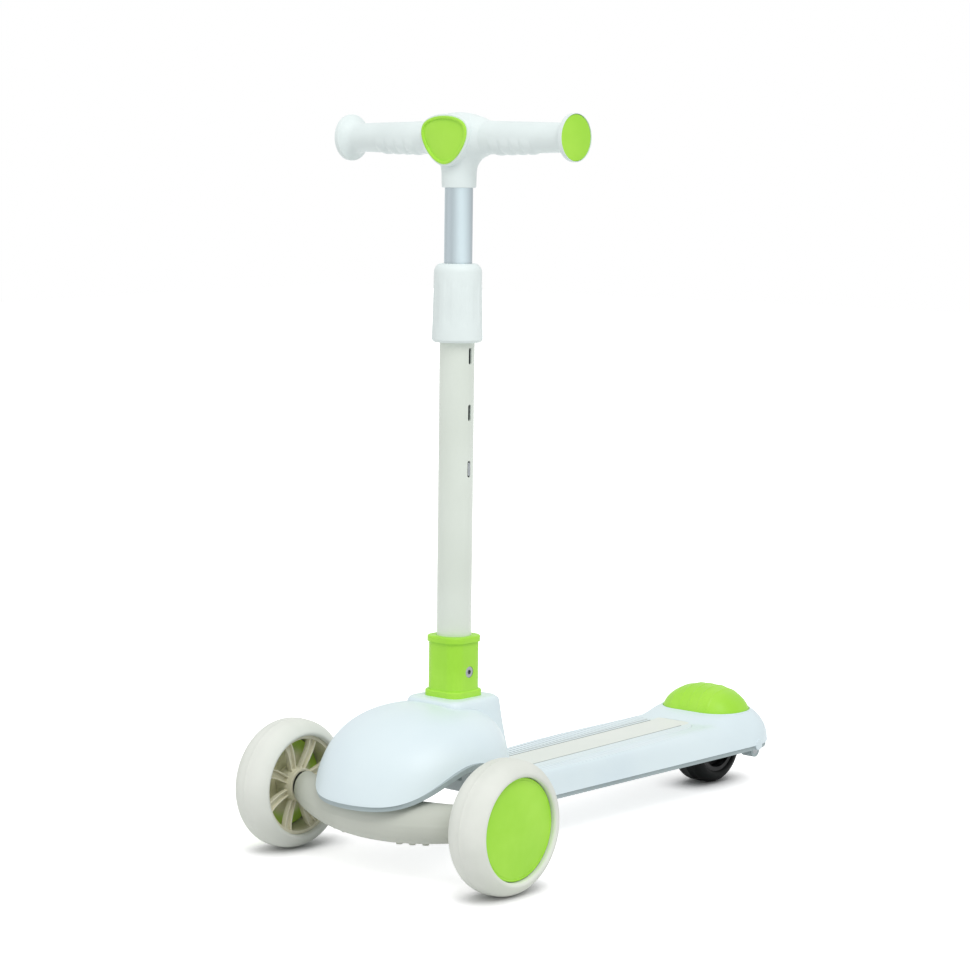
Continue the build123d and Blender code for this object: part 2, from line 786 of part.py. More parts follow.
# Front wheels, built on the rider's left and mirrored to the right
wheel_center = across(front_wheel_x, front_axle_y, front_wheel_radius)
rim_inner_radius = front_seat_radius - front_rim_wall

with BuildPart() as front_tyre:
    revolve(tyre_profile(section(front_wheel_x, front_axle_y, front_wheel_radius), front_wheel_radius,
                         front_seat_radius, front_widest_radius, front_tyre_width, front_seat_width,
                         front_tread_width), axis=front_axle_axis)

with BuildPart() as front_hub:
    rod(wheel_center, -front_rim_inner_side, front_rim_inner_side + front_rim_outer_side, front_seat_radius,
        rim_inner_radius)
    rod(wheel_center, -front_boss_inner_side, front_boss_inner_side + front_boss_outer_side,
        front_boss_radius)
    with BuildSketch(wheel_center.offset(spoke_recess - front_rim_inner_side)) as spokes:
        with BuildLine():
            for index in range(spoke_pairs):
                for twin in (-1, 1):
                    root = index * 360 / spoke_pairs + twin * spoke_split / 4
                    tip = index * 360 / spoke_pairs + spoke_sweep + twin * spoke_split / 2
                    middle = (root + tip) / 2 - spoke_bow
                    ThreePointArc(polar(front_boss_radius - spoke_bite, root),
                                  polar((front_boss_radius + rim_inner_radius) / 2, middle),
                                  polar(rim_inner_radius + spoke_bite, tip))
        trace(line_width=spoke_width)
    extrude(amount=spoke_depth)
    rod(wheel_center, -front_boss_inner_side, bearing_width, bearing_radius, mode=Mode.SUBTRACT)
    rod(wheel_center, front_boss_outer_side - bearing_width, bearing_width, bearing_radius,
        mode=Mode.SUBTRACT)
    rod(wheel_center, -front_boss_inner_side, front_boss_inner_side + front_boss_outer_side,
        bearing_radius - bearing_shoulder, mode=Mode.SUBTRACT)

with BuildPart() as front_cap:
    with BuildSketch(section(front_wheel_x, front_axle_y, front_wheel_radius)) as cap_profile:
        with BuildLine():
            cap_face = front_rim_outer_side + cap_thickness
            Polyline((cap_face + cap_crown, 0), (front_rim_outer_side, 0), (front_rim_outer_side, cap_radius),
                     (cap_face, cap_radius))
            TangentArc((cap_face + cap_crown, 0), (cap_face, cap_radius), tangent=(0, 1))
        make_face()
    revolve(axis=front_axle_axis)
    rod(wheel_center, front_rim_outer_side - cap_clip_depth, cap_clip_depth, rim_inner_radius - shell_gap,
        rim_inner_radius - shell_gap - cap_clip_wall)

with BuildPart() as front_bearings:
    for start in (-front_boss_inner_side, front_boss_outer_side - bearing_width):
        rod(wheel_center, start, bearing_width, bearing_radius, bearing_bore)

with BuildPart() as front_bearing_spacer:
    rod(wheel_center, bearing_width - front_boss_inner_side,
        front_boss_inner_side + front_boss_outer_side - 2 * bearing_width, bearing_bore + bearing_spacer_wall,
        bearing_bore)

with BuildPart() as front_axle_bolt:
    bolt_length = front_axle_grip + beam_end_gap + front_boss_inner_side + front_boss_outer_side + moving_gap
    rod(wheel_center, front_boss_outer_side + moving_gap, -bolt_length, axle_radius)
    hexagon(wheel_center, front_boss_outer_side + moving_gap, bolt_head_height, bolt_head_size)

for name, piece in (("front_tyre", front_tyre), ("front_hub", front_hub), ("hub_cap", front_cap),
                    ("front_bearings", front_bearings), ("front_bearing_spacer", front_bearing_spacer),
                    ("front_axle_bolt", front_axle_bolt)):
    finish(piece.part, f"left_{name}")
    finish(mirrored(piece.part), f"right_{name}")

# Rear wheel
rear_center = across(0, rear_axle_y, rear_wheel_radius)
rear_half_width = rear_tyre_width / 2
rear_face = rear_seat_width / 2

with BuildPart() as rear_tyre:
    revolve(tyre_profile(section(0, rear_axle_y, rear_wheel_radius), rear_wheel_radius, rear_seat_radius,
                         rear_widest_radius, rear_tyre_width, rear_seat_width, rear_tread_width),
            axis=rear_axle_axis)
finish(rear_tyre.part, "rear_tyre")

with BuildPart() as rear_hub:
    rod(rear_center, -rear_face, 2 * rear_face, rear_seat_radius, rear_seat_radius - rear_rim_wall)
    rod(rear_center, -rear_web_thickness / 2, rear_web_thickness, rear_seat_radius)
    rod(rear_center, -rear_face, 2 * rear_face, rear_boss_radius)
    for side in (-1, 1):
        rod(rear_center, side * rear_face, -side * bearing_width, bearing_radius, mode=Mode.SUBTRACT)
    rod(rear_center, -rear_face, 2 * rear_face, bearing_radius - bearing_shoulder, mode=Mode.SUBTRACT)
finish(rear_hub.part, "rear_hub")

with BuildPart() as rear_bearings:
    for side in (-1, 1):
        rod(rear_center, side * rear_face, -side * bearing_width, bearing_radius, bearing_bore)
finish(rear_bearings.part, "rear_bearings")

with BuildPart() as rear_bearing_spacer:
    rod(rear_center, bearing_width - rear_face, 2 * (rear_face - bearing_width),
        bearing_bore + bearing_spacer_wall, bearing_bore)
finish(rear_bearing_spacer.part, "rear_bearing_spacer")

with BuildPart() as rear_axle:
    axle_half_length = axle_boss_start + axle_boss_length
    rod(rear_center, -axle_half_length, 2 * axle_half_length, axle_radius)
finish(rear_axle.part, "rear_axle")

with BuildPart() as rear_spacers:
    for side in (-1, 1):
        rod(rear_center, side * (rear_face + moving_gap), side * (carrier_x - rear_face - moving_gap),
            axle_radius + bearing_spacer_wall, axle_radius)
finish(rear_spacers.part, "rear_spacers")

# Rear brake
brake_outer = brake_form(0)
brake_hollow = brake_form(brake_wall)
brake_ridge = brake_form(-brake_rib_height)

with BuildPart() as brake_ribs:
    add(brake_ridge)
    with BuildSketch(Plane.XY.offset(brake_rib_foot_z)) as rib_slabs:
        with Locations((0, brake_y)):
            with GridLocations(brake_rib_spacing, 0, brake_rib_count, 1):
                Rectangle(brake_rib_width, brake_length - 2 * brake_rib_inset)
    extrude(amount=brake_top_z, mode=Mode.INTERSECT)

with BuildPart() as brake_pedal:
    add(brake_outer)
    add(brake_ribs.part)
    add(brake_hollow, mode=Mode.SUBTRACT)
    for side in (-1, 1):
        barrel = across(side * brake_barrel_start, brake_pin_y, brake_pin_z)
        arm = sorted((side * brake_barrel_start, side * (brake_barrel_start + brake_barrel_length)))
        block(arm, (brake_pin_y, brake_pin_y + brake_arm_length),
              (brake_pin_z - brake_arm_thickness / 2, brake_skirt_z + brake_arm_overlap))
        rod(barrel, 0, side * brake_barrel_length, brake_barrel_radius)
    rod(across(0, brake_pin_y, brake_pin_z), -far / 2, far, brake_pin_radius + running_gap,
        mode=Mode.SUBTRACT)
    rod(rear_center, -rear_half_width - wheel_slot_gap, 2 * (rear_half_width + wheel_slot_gap),
        rear_wheel_radius + brake_pad_gap, mode=Mode.SUBTRACT)
finish(brake_pedal.part, "brake_pedal")

with BuildPart() as brake_pad:
    block((-brake_pad_width / 2, brake_pad_width / 2),
          (rear_axle_y - brake_pad_length / 2, rear_axle_y + brake_pad_length / 2),
          (rear_wheel_radius, brake_top_z))
    add(brake_hollow, mode=Mode.INTERSECT)
    rod(rear_center, -far / 2, far, rear_wheel_radius + brake_pad_gap, mode=Mode.SUBTRACT)
finish(brake_pad.part, "brake_pad")

with BuildPart() as brake_pin:
    pin_half_length = brake_lug_x + brake_lug_thickness
    rod(across(0, brake_pin_y, brake_pin_z), -pin_half_length, 2 * pin_half_length, brake_pin_radius)
finish(brake_pin.part, "brake_pin")

with BuildPart() as brake_spring:
    for side in (-1, 1):
        leaf_x = side * brake_spring_x - brake_spring_width / 2
        with BuildSketch(across(leaf_x, 0, 0)) as leaf:
            with BuildLine():
                leaf_z = deck_edge_z + brake_spring_thickness / 2
                arm_bottom = brake_pin_z - brake_arm_thickness / 2
                leaf_tip_z = arm_bottom - moving_gap - brake_spring_thickness / 2
                bend_y = brake_pin_y - brake_spring_run
                hook_y = brake_pin_y + brake_spring_reach
                FilletPolyline((bend_y - brake_spring_foot, leaf_z), (bend_y, leaf_z),
                               (hook_y, leaf_tip_z - brake_spring_hook_rise),
                               (hook_y + brake_spring_hook, leaf_tip_z), radius=brake_spring_bend)
            trace(line_width=brake_spring_thickness)
        extrude(amount=brake_spring_width)
finish(brake_spring.part, "brake_spring")

# Stem
with BuildPart() as stem_socket:
    square_bar(stem, 0, flange_height, flange_width, flange_corner)
    fillet(stem_socket.faces().sort_by(stem_axis)[-1].edges(), flange_round)
    square_bar(stem, 0, socket_height, socket_width, socket_corner)
    square_bar(stem, socket_height - socket_lip_height, socket_lip_height, socket_lip_width,
               socket_lip_corner)
    fillet(stem_socket.faces().sort_by(stem_axis)[-1].edges(), socket_lip_round)
    square_bar(stem, -spigot_length, spigot_length, spigot_width, spigot_corner)
    rod(stem, outer_tube_foot, socket_height, outer_tube_radius, mode=Mode.SUBTRACT)
    rod(stem, -spigot_length, stem_bolt_bite, stem_bolt_radius, mode=Mode.SUBTRACT)
    rod(socket_bolt_plane, -far, 2 * far, socket_bolt_radius, mode=Mode.SUBTRACT)
    rod(socket_bolt_plane, socket_bolt_seat, far, socket_bolt_head_radius + shell_gap, mode=Mode.SUBTRACT)
    hexagon(socket_bolt_plane, -socket_bolt_seat, -far, socket_nut_size, mode=Mode.SUBTRACT)
finish(stem_socket.part, "stem_socket")

with BuildPart() as socket_bolt:
    rod(socket_bolt_plane, socket_bolt_seat, -2 * socket_bolt_seat - socket_nut_height, socket_bolt_radius)
    rod(socket_bolt_plane, socket_bolt_seat, socket_bolt_head_height, socket_bolt_head_radius)
    hexagon(socket_bolt_plane, socket_bolt_seat + socket_bolt_head_height, -socket_hex_depth, socket_hex_size,
            mode=Mode.SUBTRACT)
finish(socket_bolt.part, "socket_bolt")

with BuildPart() as socket_nut:
    hexagon(socket_bolt_plane, -socket_bolt_seat, -socket_nut_height, socket_nut_size)
    rod(socket_bolt_plane, -socket_bolt_seat, -socket_nut_height, socket_bolt_radius, mode=Mode.SUBTRACT)
finish(socket_nut.part, "socket_nut")

with BuildPart() as stem_bolt:
    stem_bolt_base = -spigot_length - stem_bolt_seat
    rod(stem, stem_bolt_base, stem_bolt_seat + stem_bolt_bite, stem_bolt_radius)
    hexagon(stem, stem_bolt_base, -bolt_head_height, bolt_head_size)
finish(stem_bolt.part, "stem_bolt")

with BuildPart() as outer_tube:
    rod(stem, outer_tube_foot, outer_tube_top - outer_tube_foot, outer_tube_radius, outer_bore)
    for index in range(slot_count):
        with BuildSketch(stem_side) as height_slot:
            with Locations((slot_first_height + index * slot_pitch, 0)):
                SlotOverall(slot_length, slot_width)
        extrude(amount=far, mode=Mode.SUBTRACT)
    rod(socket_bolt_plane, -far, 2 * far, socket_bolt_radius, mode=Mode.SUBTRACT)
finish(outer_tube.part, "outer_tube")

with BuildPart() as top_guide:
    guide_bore = inner_tube_radius + running_gap
    rod(stem, outer_tube_top - guide_length, guide_length, outer_bore, guide_bore)
    rod(stem, outer_tube_top, guide_flange_height, outer_tube_radius, guide_bore)
finish(top_guide.part, "top_guide")

with BuildPart() as twist_collar:
    with BuildSketch(stem_section) as collar_profile:
        with BuildLine():
            collar_top = collar_bottom + collar_height
            collar_bore = outer_tube_radius + moving_gap
            lid_bottom = outer_tube_top + guide_flange_height + moving_gap
            lid_bore = inner_tube_radius + moving_gap
            lid_radius = collar_top_radius - collar_shoulder_width
            Polyline((collar_top_radius, collar_top - collar_shoulder),
                     (collar_foot_radius, collar_bottom + collar_foot_round),
                     (collar_foot_radius - collar_foot_round, collar_bottom), (collar_bore, collar_bottom),
                     (collar_bore, lid_bottom), (lid_bore, lid_bottom), (lid_bore, collar_top),
                     (lid_radius, collar_top))
            TangentArc((lid_radius, collar_top), (collar_top_radius, collar_top - collar_shoulder),
                       tangent=(1, 0))
        make_face()
    revolve(axis=stem_axis)
    with BuildSketch(stem.offset(collar_bottom + collar_flute_bottom)) as flutes:
        with PolarLocations(collar_foot_radius - collar_flute_depth + collar_flute_radius, collar_flutes):
            Circle(collar_flute_radius)
    extrude(amount=collar_flute_length, mode=Mode.SUBTRACT)
finish(twist_collar.part, "twist_collar")

with BuildPart() as inner_tube:
    rod(stem, inner_tube_foot, inner_tube_top - inner_tube_foot, inner_tube_radius,
        inner_tube_radius - inner_tube_wall)
    with BuildSketch(stem_side) as button_hole:
        with Locations((slot_first_height, 0)):
            SlotOverall(button_length + 2 * button_hole_gap, button_width + 2 * button_hole_gap)
    extrude(amount=far, mode=Mode.SUBTRACT)
    rod(neck_screw_plane, 0, far, neck_screw_radius, mode=Mode.SUBTRACT)
finish(inner_tube.part, "inner_tube")

with BuildPart() as lower_guide:
    rod(stem, inner_tube_foot, guide_length, outer_bore - sliding_gap, inner_tube_radius)
finish(lower_guide.part, "lower_guide")

with BuildPart() as height_button:
    with BuildSketch(stem_side.offset(button_root)) as button_outline:
        with Locations((slot_first_height, 0)):
            SlotOverall(button_length, button_width)
    extrude(amount=button_tip - button_root)
    with BuildSketch(stem_side.offset(button_root)) as button_flange:
        with Locations((slot_first_height, 0)):
            SlotOverall(button_flange_length, button_flange_width)
    extrude(amount=-button_flange_thickness)
finish(height_button.part, "height_button")

with BuildPart() as button_spring:
    with BuildSketch(stem_section) as spring_strip:
        with BuildLine():
            strip_x = inner_tube_radius - inner_tube_wall - button_spring_inset
            strip_top = button_root - button_flange_thickness - moving_gap - button_spring_thickness / 2
            FilletPolyline((strip_top, slot_first_height + button_flange_length / 2),
                           (strip_top, slot_first_height - button_flange_length / 2),
                           (0, slot_first_height - button_spring_drop),
                           (-strip_x, slot_first_height - button_flange_length / 2),
                           (-strip_x, slot_first_height + button_flange_length / 2),
                           radius=button_spring_bend)
        trace(line_width=button_spring_thickness)
    extrude(amount=button_spring_width / 2, both=True)
finish(button_spring.part, "button_spring")

# Handlebar
with BuildPart() as t_body:
    with BuildSketch(bar_section) as cross_profile:
        with BuildLine():
            Polyline((0, body_crown_radius), (0, 0), (body_half_width, 0), (body_half_width, body_end_radius))
            Spline((body_half_width, body_end_radius), (body_shoulder_half_width, body_shoulder_radius),
                   (0, body_crown_radius), tangents=((-1, 0), (-1, 0)))
        make_face()
        mirror(about=Plane.YZ)
    revolve(axis=bar_axis)
    neck_faces = []
    for height, radius in ((neck_bottom, neck_radius), (neck_waist_height, neck_waist_radius),
                           (neck_flare_height, neck_flare_radius), (bar_height, neck_top_radius)):
        with BuildSketch(stem.offset(height), mode=Mode.PRIVATE) as neck_face:
            Circle(radius)
        neck_faces.append(neck_face.sketch)
    loft(neck_faces)
    extrude(badge_outline(-badge_seat_inset, 0), amount=badge_seat)
    extrude(badge_outline(0, badge_seat), amount=badge_reach, mode=Mode.SUBTRACT)
    rod(stem, neck_bottom, inner_tube_top - neck_bottom, inner_tube_radius, mode=Mode.SUBTRACT)
    rod(across(*bar_center), -far, 2 * far, bar_tube_radius, mode=Mode.SUBTRACT)
    rod(neck_screw_plane, 0, far, neck_screw_radius, mode=Mode.SUBTRACT)
    rod(neck_screw_plane, neck_screw_seat, far, neck_screw_head_radius, mode=Mode.SUBTRACT)
finish(t_body.part, "t_body")

with BuildPart() as neck_screw:
    screw_root = inner_tube_radius - inner_tube_wall
    rod(neck_screw_plane, screw_root, neck_screw_seat - screw_root, neck_screw_radius)
    rod(neck_screw_plane, neck_screw_seat, neck_screw_head_height, neck_screw_head_radius)
finish(neck_screw.part, "neck_screw")

with BuildPart() as badge_cover:
    extrude(badge_outline(0, badge_seat), amount=badge_thickness)
    extrude(badge_outline(-badge_rim_width, badge_reach), amount=-badge_rim_height, mode=Mode.SUBTRACT)
finish(badge_cover.part, "badge_cover")

with BuildPart() as bar_tube:
    rod(across(*bar_center), -bar_half_length, 2 * bar_half_length, bar_tube_radius,
        bar_tube_radius - bar_tube_wall)
finish(bar_tube.part, "bar_tube")

with BuildPart() as grip:
    with BuildSketch(bar_section) as grip_profile:
        with BuildLine():
            grip_start = body_half_width
            flange_start = bar_half_width - grip_flange_width
            cap_seat = bar_half_width - end_cap_thickness
            lip_radius = end_cap_radius + shell_gap
            Polyline((flange_start - grip_neck_length, grip_outer_radius), (grip_start, grip_inner_radius),
                     (grip_start, bar_tube_radius), (cap_seat, bar_tube_radius), (cap_seat, lip_radius),
                     (bar_half_width, lip_radius))
            rim = TangentArc((bar_half_width, lip_radius),
                             (bar_half_width - grip_flange_round, grip_flange_radius), tangent=(0, 1))
            crest = Line(rim @ 1, (flange_start + grip_flange_round, grip_flange_radius))
            Spline(crest @ 1, (flange_start - grip_neck_length, grip_outer_radius),
                   tangents=((-1, 0), (-1, 0)))
        make_face()
    revolve(axis=bar_axis)
    for index in range(grip_bumps):
        bump_x = grip_start + grip_bump_start + index * grip_bump_step
        bump = across(bump_x, bar_center.Y, bar_center.Z - grip_bump_drop)
        rod(bump, -grip_bump_width / 2, grip_bump_width, grip_bump_radius)
    rod(across(*bar_center), 0, cap_seat, bar_tube_radius, mode=Mode.SUBTRACT)

with BuildPart() as end_cap:
    rod(across(*bar_center), cap_seat, end_cap_thickness, end_cap_radius)
    fillet(end_cap.faces().sort_by(Axis.X)[-1].edges(), end_cap_round)

for name, piece in (("grip", grip), ("end_cap", end_cap)):
    finish(piece.part, f"left_{name}")
    finish(mirrored(piece.part), f"right_{name}")
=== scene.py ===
import math
import bmesh
import bpy
import numpy as np
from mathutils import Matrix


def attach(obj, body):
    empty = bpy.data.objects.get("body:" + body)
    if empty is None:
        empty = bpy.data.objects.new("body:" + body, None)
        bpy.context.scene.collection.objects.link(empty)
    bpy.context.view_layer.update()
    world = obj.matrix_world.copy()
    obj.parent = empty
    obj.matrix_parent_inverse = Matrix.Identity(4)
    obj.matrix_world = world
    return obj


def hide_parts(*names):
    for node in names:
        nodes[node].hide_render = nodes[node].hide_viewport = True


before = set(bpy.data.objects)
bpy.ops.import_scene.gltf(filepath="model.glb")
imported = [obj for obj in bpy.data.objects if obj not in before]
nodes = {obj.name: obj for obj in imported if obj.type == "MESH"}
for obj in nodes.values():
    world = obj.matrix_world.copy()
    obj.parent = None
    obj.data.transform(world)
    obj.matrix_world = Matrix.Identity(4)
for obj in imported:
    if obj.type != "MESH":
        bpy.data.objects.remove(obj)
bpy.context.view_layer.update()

print("frame loaded:", len(nodes), "solids")

# lengths are in millimetres, in the solids' own frame: +X rider's left, +Y rear, +Z up
layout = {"frontAxleY": -225.0, "rearAxleY": 244.0, "wheelX": 130.0, "wheelZ": 60.0, "rearWheelZ": 40.0,
          "stemFootY": -145.0, "platformZ": 147.5, "rake": 1.1, "barHeight": 504.0}
mm = 0.001
mergeGap = 1e-6
sharpEdge = 35.0
rake = math.radians(layout["rake"])
sideways = np.array([1.0, 0.0, 0.0])
upright = np.array([0.0, 0.0, 1.0])
stemUp = np.array([0.0, math.sin(rake), math.cos(rake)])
stemBack = np.cross(stemUp, sideways)
bothSides = (("left", 1.0), ("right", -1.0))
stemFoot = np.array([0.0, layout["stemFootY"], layout["platformZ"]])
barCentre = stemFoot + stemUp * layout["barHeight"]


# camera at the photograph's viewing angle
cameraView = {"place": (1.68268, -2.04304, 0.65396), "azimuth": 40.902, "pitch": 7.059, "lens": 105.0,
              "sensor": 36.0}
cameraData = bpy.data.cameras.new("camera")
cameraData.lens = cameraView["lens"]
cameraData.sensor_width = cameraView["sensor"]
camera = bpy.data.objects.new("camera", cameraData)
camera.location = cameraView["place"]
camera.rotation_euler = (math.radians(90 - cameraView["pitch"]), 0.0, math.radians(cameraView["azimuth"]))
bpy.context.scene.collection.objects.link(camera)
bpy.context.scene.camera = camera
bpy.context.scene.view_settings.view_transform = "Standard"


# shaders: a socket with arithmetic, so that maths on a surface reads as an expression
class Signal:
    def __init__(self, tree, socket=None):
        self.tree = tree
        self.socket = socket

    def node(self, kind, settings, inputs, out=0):
        # any node: its settings first, then a value or a link for each named or numbered socket
        made = self.tree.nodes.new(kind)
        for key, value in settings.items():
            setattr(made, key, value)
        for key, value in inputs.items():
            if isinstance(value, Signal):
                self.tree.links.new(value.socket, made.inputs[key])
            else:
                made.inputs[key].default_value = value
        return Signal(self.tree, made.outputs[out])

    def math(self, operation, first, second=0.0):
        return self.node("ShaderNodeMath", {"operation": operation}, {0: first, 1: second})

    def __add__(self, other):
        return self.math("ADD", self, other)

    def __radd__(self, other):
        return self.math("ADD", other, self)

    def __sub__(self, other):
        return self.math("SUBTRACT", self, other)

    def __rsub__(self, other):
        return self.math("SUBTRACT", other, self)

    def __mul__(self, other):
        return self.math("MULTIPLY", self, other)

    def __rmul__(self, other):
        return self.math("MULTIPLY", other, self)

    def __pow__(self, other):
        return self.math("POWER", self, other)

    def between(self, low, high):
        # 0 below low, 1 above high, smooth between
        settings = {"interpolation_type": "SMOOTHSTEP"}
        return self.node("ShaderNodeMapRange", settings, {0: self, 1: low, 2: high, 3: 0.0, 4: 1.0})

    def noise(self, where, scale, detail=2.0, roughness=0.5):
        return self.node("ShaderNodeTexNoise", {}, {"Vector": where, "Scale": scale, "Detail": detail,
                                                    "Roughness": roughness})

    def blend(self, share, first, second):
        # a colour between two colours
        return self.node("ShaderNodeMix", {"data_type": "RGBA"}, {0: share, 6: first, 7: second}, out=2)

    def bump(self, height, strength, distance):
        return self.node("ShaderNodeBump", {}, {"Strength": strength, "Distance": distance, "Height": height})


def shade(red, green, blue):
    # a display colour, 0 to 255, as linear light
    value = np.array([red, green, blue]) / 255.0
    linear = np.where(value <= 0.04045, value / 12.92, ((value + 0.055) / 1.055) ** 2.4)
    return (*linear.tolist(), 1.0)


def startFinish(name):
    # a material with its shader, and the piece's own coordinates in metres
    material = bpy.data.materials.new(name)
    material.use_nodes = True
    tree = material.node_tree
    shader = tree.nodes["Principled BSDF"]
    where = Signal(tree).node("ShaderNodeTexCoord", {}, {}, out=3)
    return material, shader, where


def feed(shader, **inputs):
    # links or constants into the shader's own sockets
    for key, value in inputs.items():
        socket = shader.inputs[key.replace("_", " ")]
        if isinstance(value, Signal):
            value.tree.links.new(value.socket, socket)
        else:
            socket.default_value = value


def studStrip(where, look):
    # hollows between small studs set like a chequerboard, in a strip along each side of the flat top, as a
    # mask for painted shade in the hollows; it thins towards the rear, and the left strip keeps little of it
    axes = where.node("ShaderNodeSeparateXYZ", {}, {0: where})
    along, up = (Signal(axes.tree, axes.socket.node.outputs[n]) for n in (1, 2))
    reach = where.math("ABSOLUTE", axes)
    wave = where.math("SINE", axes * (math.pi / look["rows"] / mm))
    wave = wave * where.math("SINE", along * (math.pi / look["pitch"] / mm))
    inner, outer, front, rear, edge = (look[k] * mm for k in ("inner", "outer", "front", "rear", "edge"))
    strip = reach.between(inner, inner + edge) * up.between(look["flatFrom"] * mm, look["flatTo"] * mm)
    strip = strip * (1 - reach.between(outer - edge, outer))
    strip = strip * (1 - look["leftShadeCut"] * axes.between(-mm, mm))
    strip = strip * along.between(front, front + mm) * (1 - along.between(rear - mm, rear))
    strip = strip * (1 - look["fade"] * along.between(front, rear))
    return strip * (1 - wave.between(*look["hollowWave"]))


def tones(where, share, look):
    # a colour between the dark and the light tone of a look
    return where.blend(share, shade(*look["dark"]), shade(*look["light"]))


def mouldedFinish(name, look):
    # moulded plastic: slow drift of tone, a fine texture in the gloss, and spark-eroded grain
    material, shader, where = startFinish(name)
    drift = where.noise(where, look["driftScale"], 3.0)
    grain = where.noise(where, look["grainScale"], 2.0, 0.6)
    smear = where.noise(where, look["smearScale"], 4.0, 0.6)
    colour = tones(where, drift.between(*driftSpan), look)
    # on the deck the stud hollows take a darker colour, painted shade, with no relief under it
    if "studs" in look:
        colour = where.blend(studStrip(where, look["studs"]), colour, shade(*look["studs"]["hollow"]))
    feed(shader, Base_Color=colour, Roughness=look["gloss"] + look["glossDrift"] * smear,
         Normal=where.bump(grain, look["grain"], grainDepth), Specular_IOR_Level=look["specular"])
    return material


driftSpan = (0.3, 0.7)
grainDepth = 0.0004
plasticTerms = ("dark", "light", "driftScale", "grainScale", "smearScale", "gloss", "glossDrift", "grain",
                "specular")
plasticRows = {
    "whiteShell": ((218, 233, 239), (224, 238, 242), 9.0, 2600.0, 60.0, 0.34, 0.1, 0.12, 0.4),
    "whiteGrip": ((223, 233, 232), (230, 240, 239), 14.0, 3200.0, 90.0, 0.42, 0.12, 0.16, 0.35),
    "greyTrim": ((162, 176, 178), (172, 186, 188), 16.0, 2200.0, 70.0, 0.5, 0.12, 0.25, 0.35),
    "limeGreen": ((160, 222, 58), (172, 230, 72), 22.0, 2400.0, 55.0, 0.36, 0.14, 0.1, 0.35),
    "beigeBeam": ((190, 195, 184), (202, 206, 196), 12.0, 1800.0, 48.0, 0.46, 0.14, 0.22, 0.35),
    "tanHub": ((212, 209, 184), (226, 223, 200), 26.0, 2000.0, 60.0, 0.45, 0.15, 0.2, 0.35),
    "creamUrethane": ((220, 224, 216), (230, 233, 226), 18.0, 1500.0, 40.0, 0.55, 0.16, 0.18, 0.3),
    "blackUrethane": ((8, 10, 10), (18, 21, 21), 24.0, 1500.0, 44.0, 0.42, 0.2, 0.2, 0.12),
    "blackPlastic": ((18, 19, 20), (28, 29, 30), 24.0, 1800.0, 50.0, 0.5, 0.15, 0.2, 0.35),
}
plastics = {name: dict(zip(plasticTerms, row)) for name, row in plasticRows.items()}
# the studs' hollow colour is painted shade in the hollows; fade thins it towards the rear, and a share of it
# is taken off the left strip
studs = {"rows": 6.4, "pitch": 2.7, "front": -84.0, "rear": 185.0, "fade": 0.6, "leftShadeCut": 0.85, "edge": 0.8,
         "flatFrom": 68.6, "flatTo": 69.4, "hollowWave": (-0.8, -0.25), "hollow": (132, 152, 160)}
plastics["whiteDeck"] = {**plastics["whiteShell"], "studs": {**studs, "inner": 32.6, "outer": 50.0}}
finishes = {name: mouldedFinish(name, look) for name, look in plastics.items()}

tubePaint = {"dark": (214, 222, 212), "light": (222, 230, 221), "speck": (150, 152, 140), "driftScale": 10.0,
             "peelScale": 420.0, "speckScale": 5200.0, "speckSpan": (0.72, 0.8), "speckShare": 0.12,
             "gloss": 0.3, "glossDrift": 0.1, "peel": 0.1, "specular": 0.45}


def paintedTube(name, look):
    # sprayed paint on a tube: orange peel in the surface and faint specks in the colour
    material, shader, where = startFinish(name)
    drift = where.noise(where, look["driftScale"], 2.0)
    speck = where.noise(where, look["speckScale"], 0.0).between(*look["speckSpan"])
    base = tones(where, drift.between(*driftSpan), look)
    peel = where.noise(where, look["peelScale"], 2.0)
    feed(shader, Base_Color=where.blend(look["speckShare"] * speck, base, shade(*look["speck"])),
         Roughness=look["gloss"] + look["glossDrift"] * peel,
         Normal=where.bump(peel, look["peel"], grainDepth), Specular_IOR_Level=look["specular"])
    return material


# dark and light are the two ends of the painted reflection bands round the tube
drawnMetal = {"dark": (154, 164, 169), "light": (198, 213, 218), "streakAcross": 1400.0, "streakAlong": 4.0,
              "streak": 0.16, "gloss": 0.3, "glossDrift": 0.14, "brightSide": 56.0, "axisShare": 0.83,
              "bump": 0.03, "bumpDepth": 0.0002}


def drawnTube(name, look):
    # drawn aluminium: three broad bands round the tube as (1 + cos 3a) / 2, with cos 3a = 4c^3 - 3c for the
    # cosine c of the angle from the bright side, a painted reflection in the colour; long fine streaks in the
    # colour and in the gloss
    material, shader, where = startFinish(name)
    stretch = (look["streakAcross"], look["streakAcross"], look["streakAlong"])
    drawn = where.node("ShaderNodeMapping", {}, {"Vector": where, "Scale": stretch})
    streak = where.noise(drawn, 1.0, 3.0, 0.6)
    bright = math.radians(look["brightSide"])
    middle = stemFoot + look["axisShare"] * layout["barHeight"] * stemUp
    onAxis = where.node("ShaderNodeMapping", {}, {"Vector": where, "Location": (0.0, -middle[1] * mm, 0.0),
                                                  "Scale": (1.0, 1.0, 0.0)})
    facing = onAxis.node("ShaderNodeVectorMath", {"operation": "NORMALIZE"}, {0: onAxis})
    toward = (math.sin(bright), -math.cos(bright), 0.0)
    c = facing.node("ShaderNodeVectorMath", {"operation": "DOT_PRODUCT"}, {0: facing, 1: toward}, out=1)
    reflectionBands = 0.5 + 0.5 * (4 * c ** 3 - 3 * c)
    tone = (1 - look["streak"]) * reflectionBands + look["streak"] * streak
    feed(shader, Base_Color=tones(where, tone, look), Roughness=look["gloss"] + look["glossDrift"] * streak,
         Metallic=1.0, Normal=where.bump(streak, look["bump"], look["bumpDepth"]))
    return material


zincMetal = {"dark": (118, 122, 124), "light": (168, 173, 176), "blotchScale": 260.0, "gloss": 0.24,
             "glossDrift": 0.25, "bump": 0.06, "bumpDepth": 0.0002}


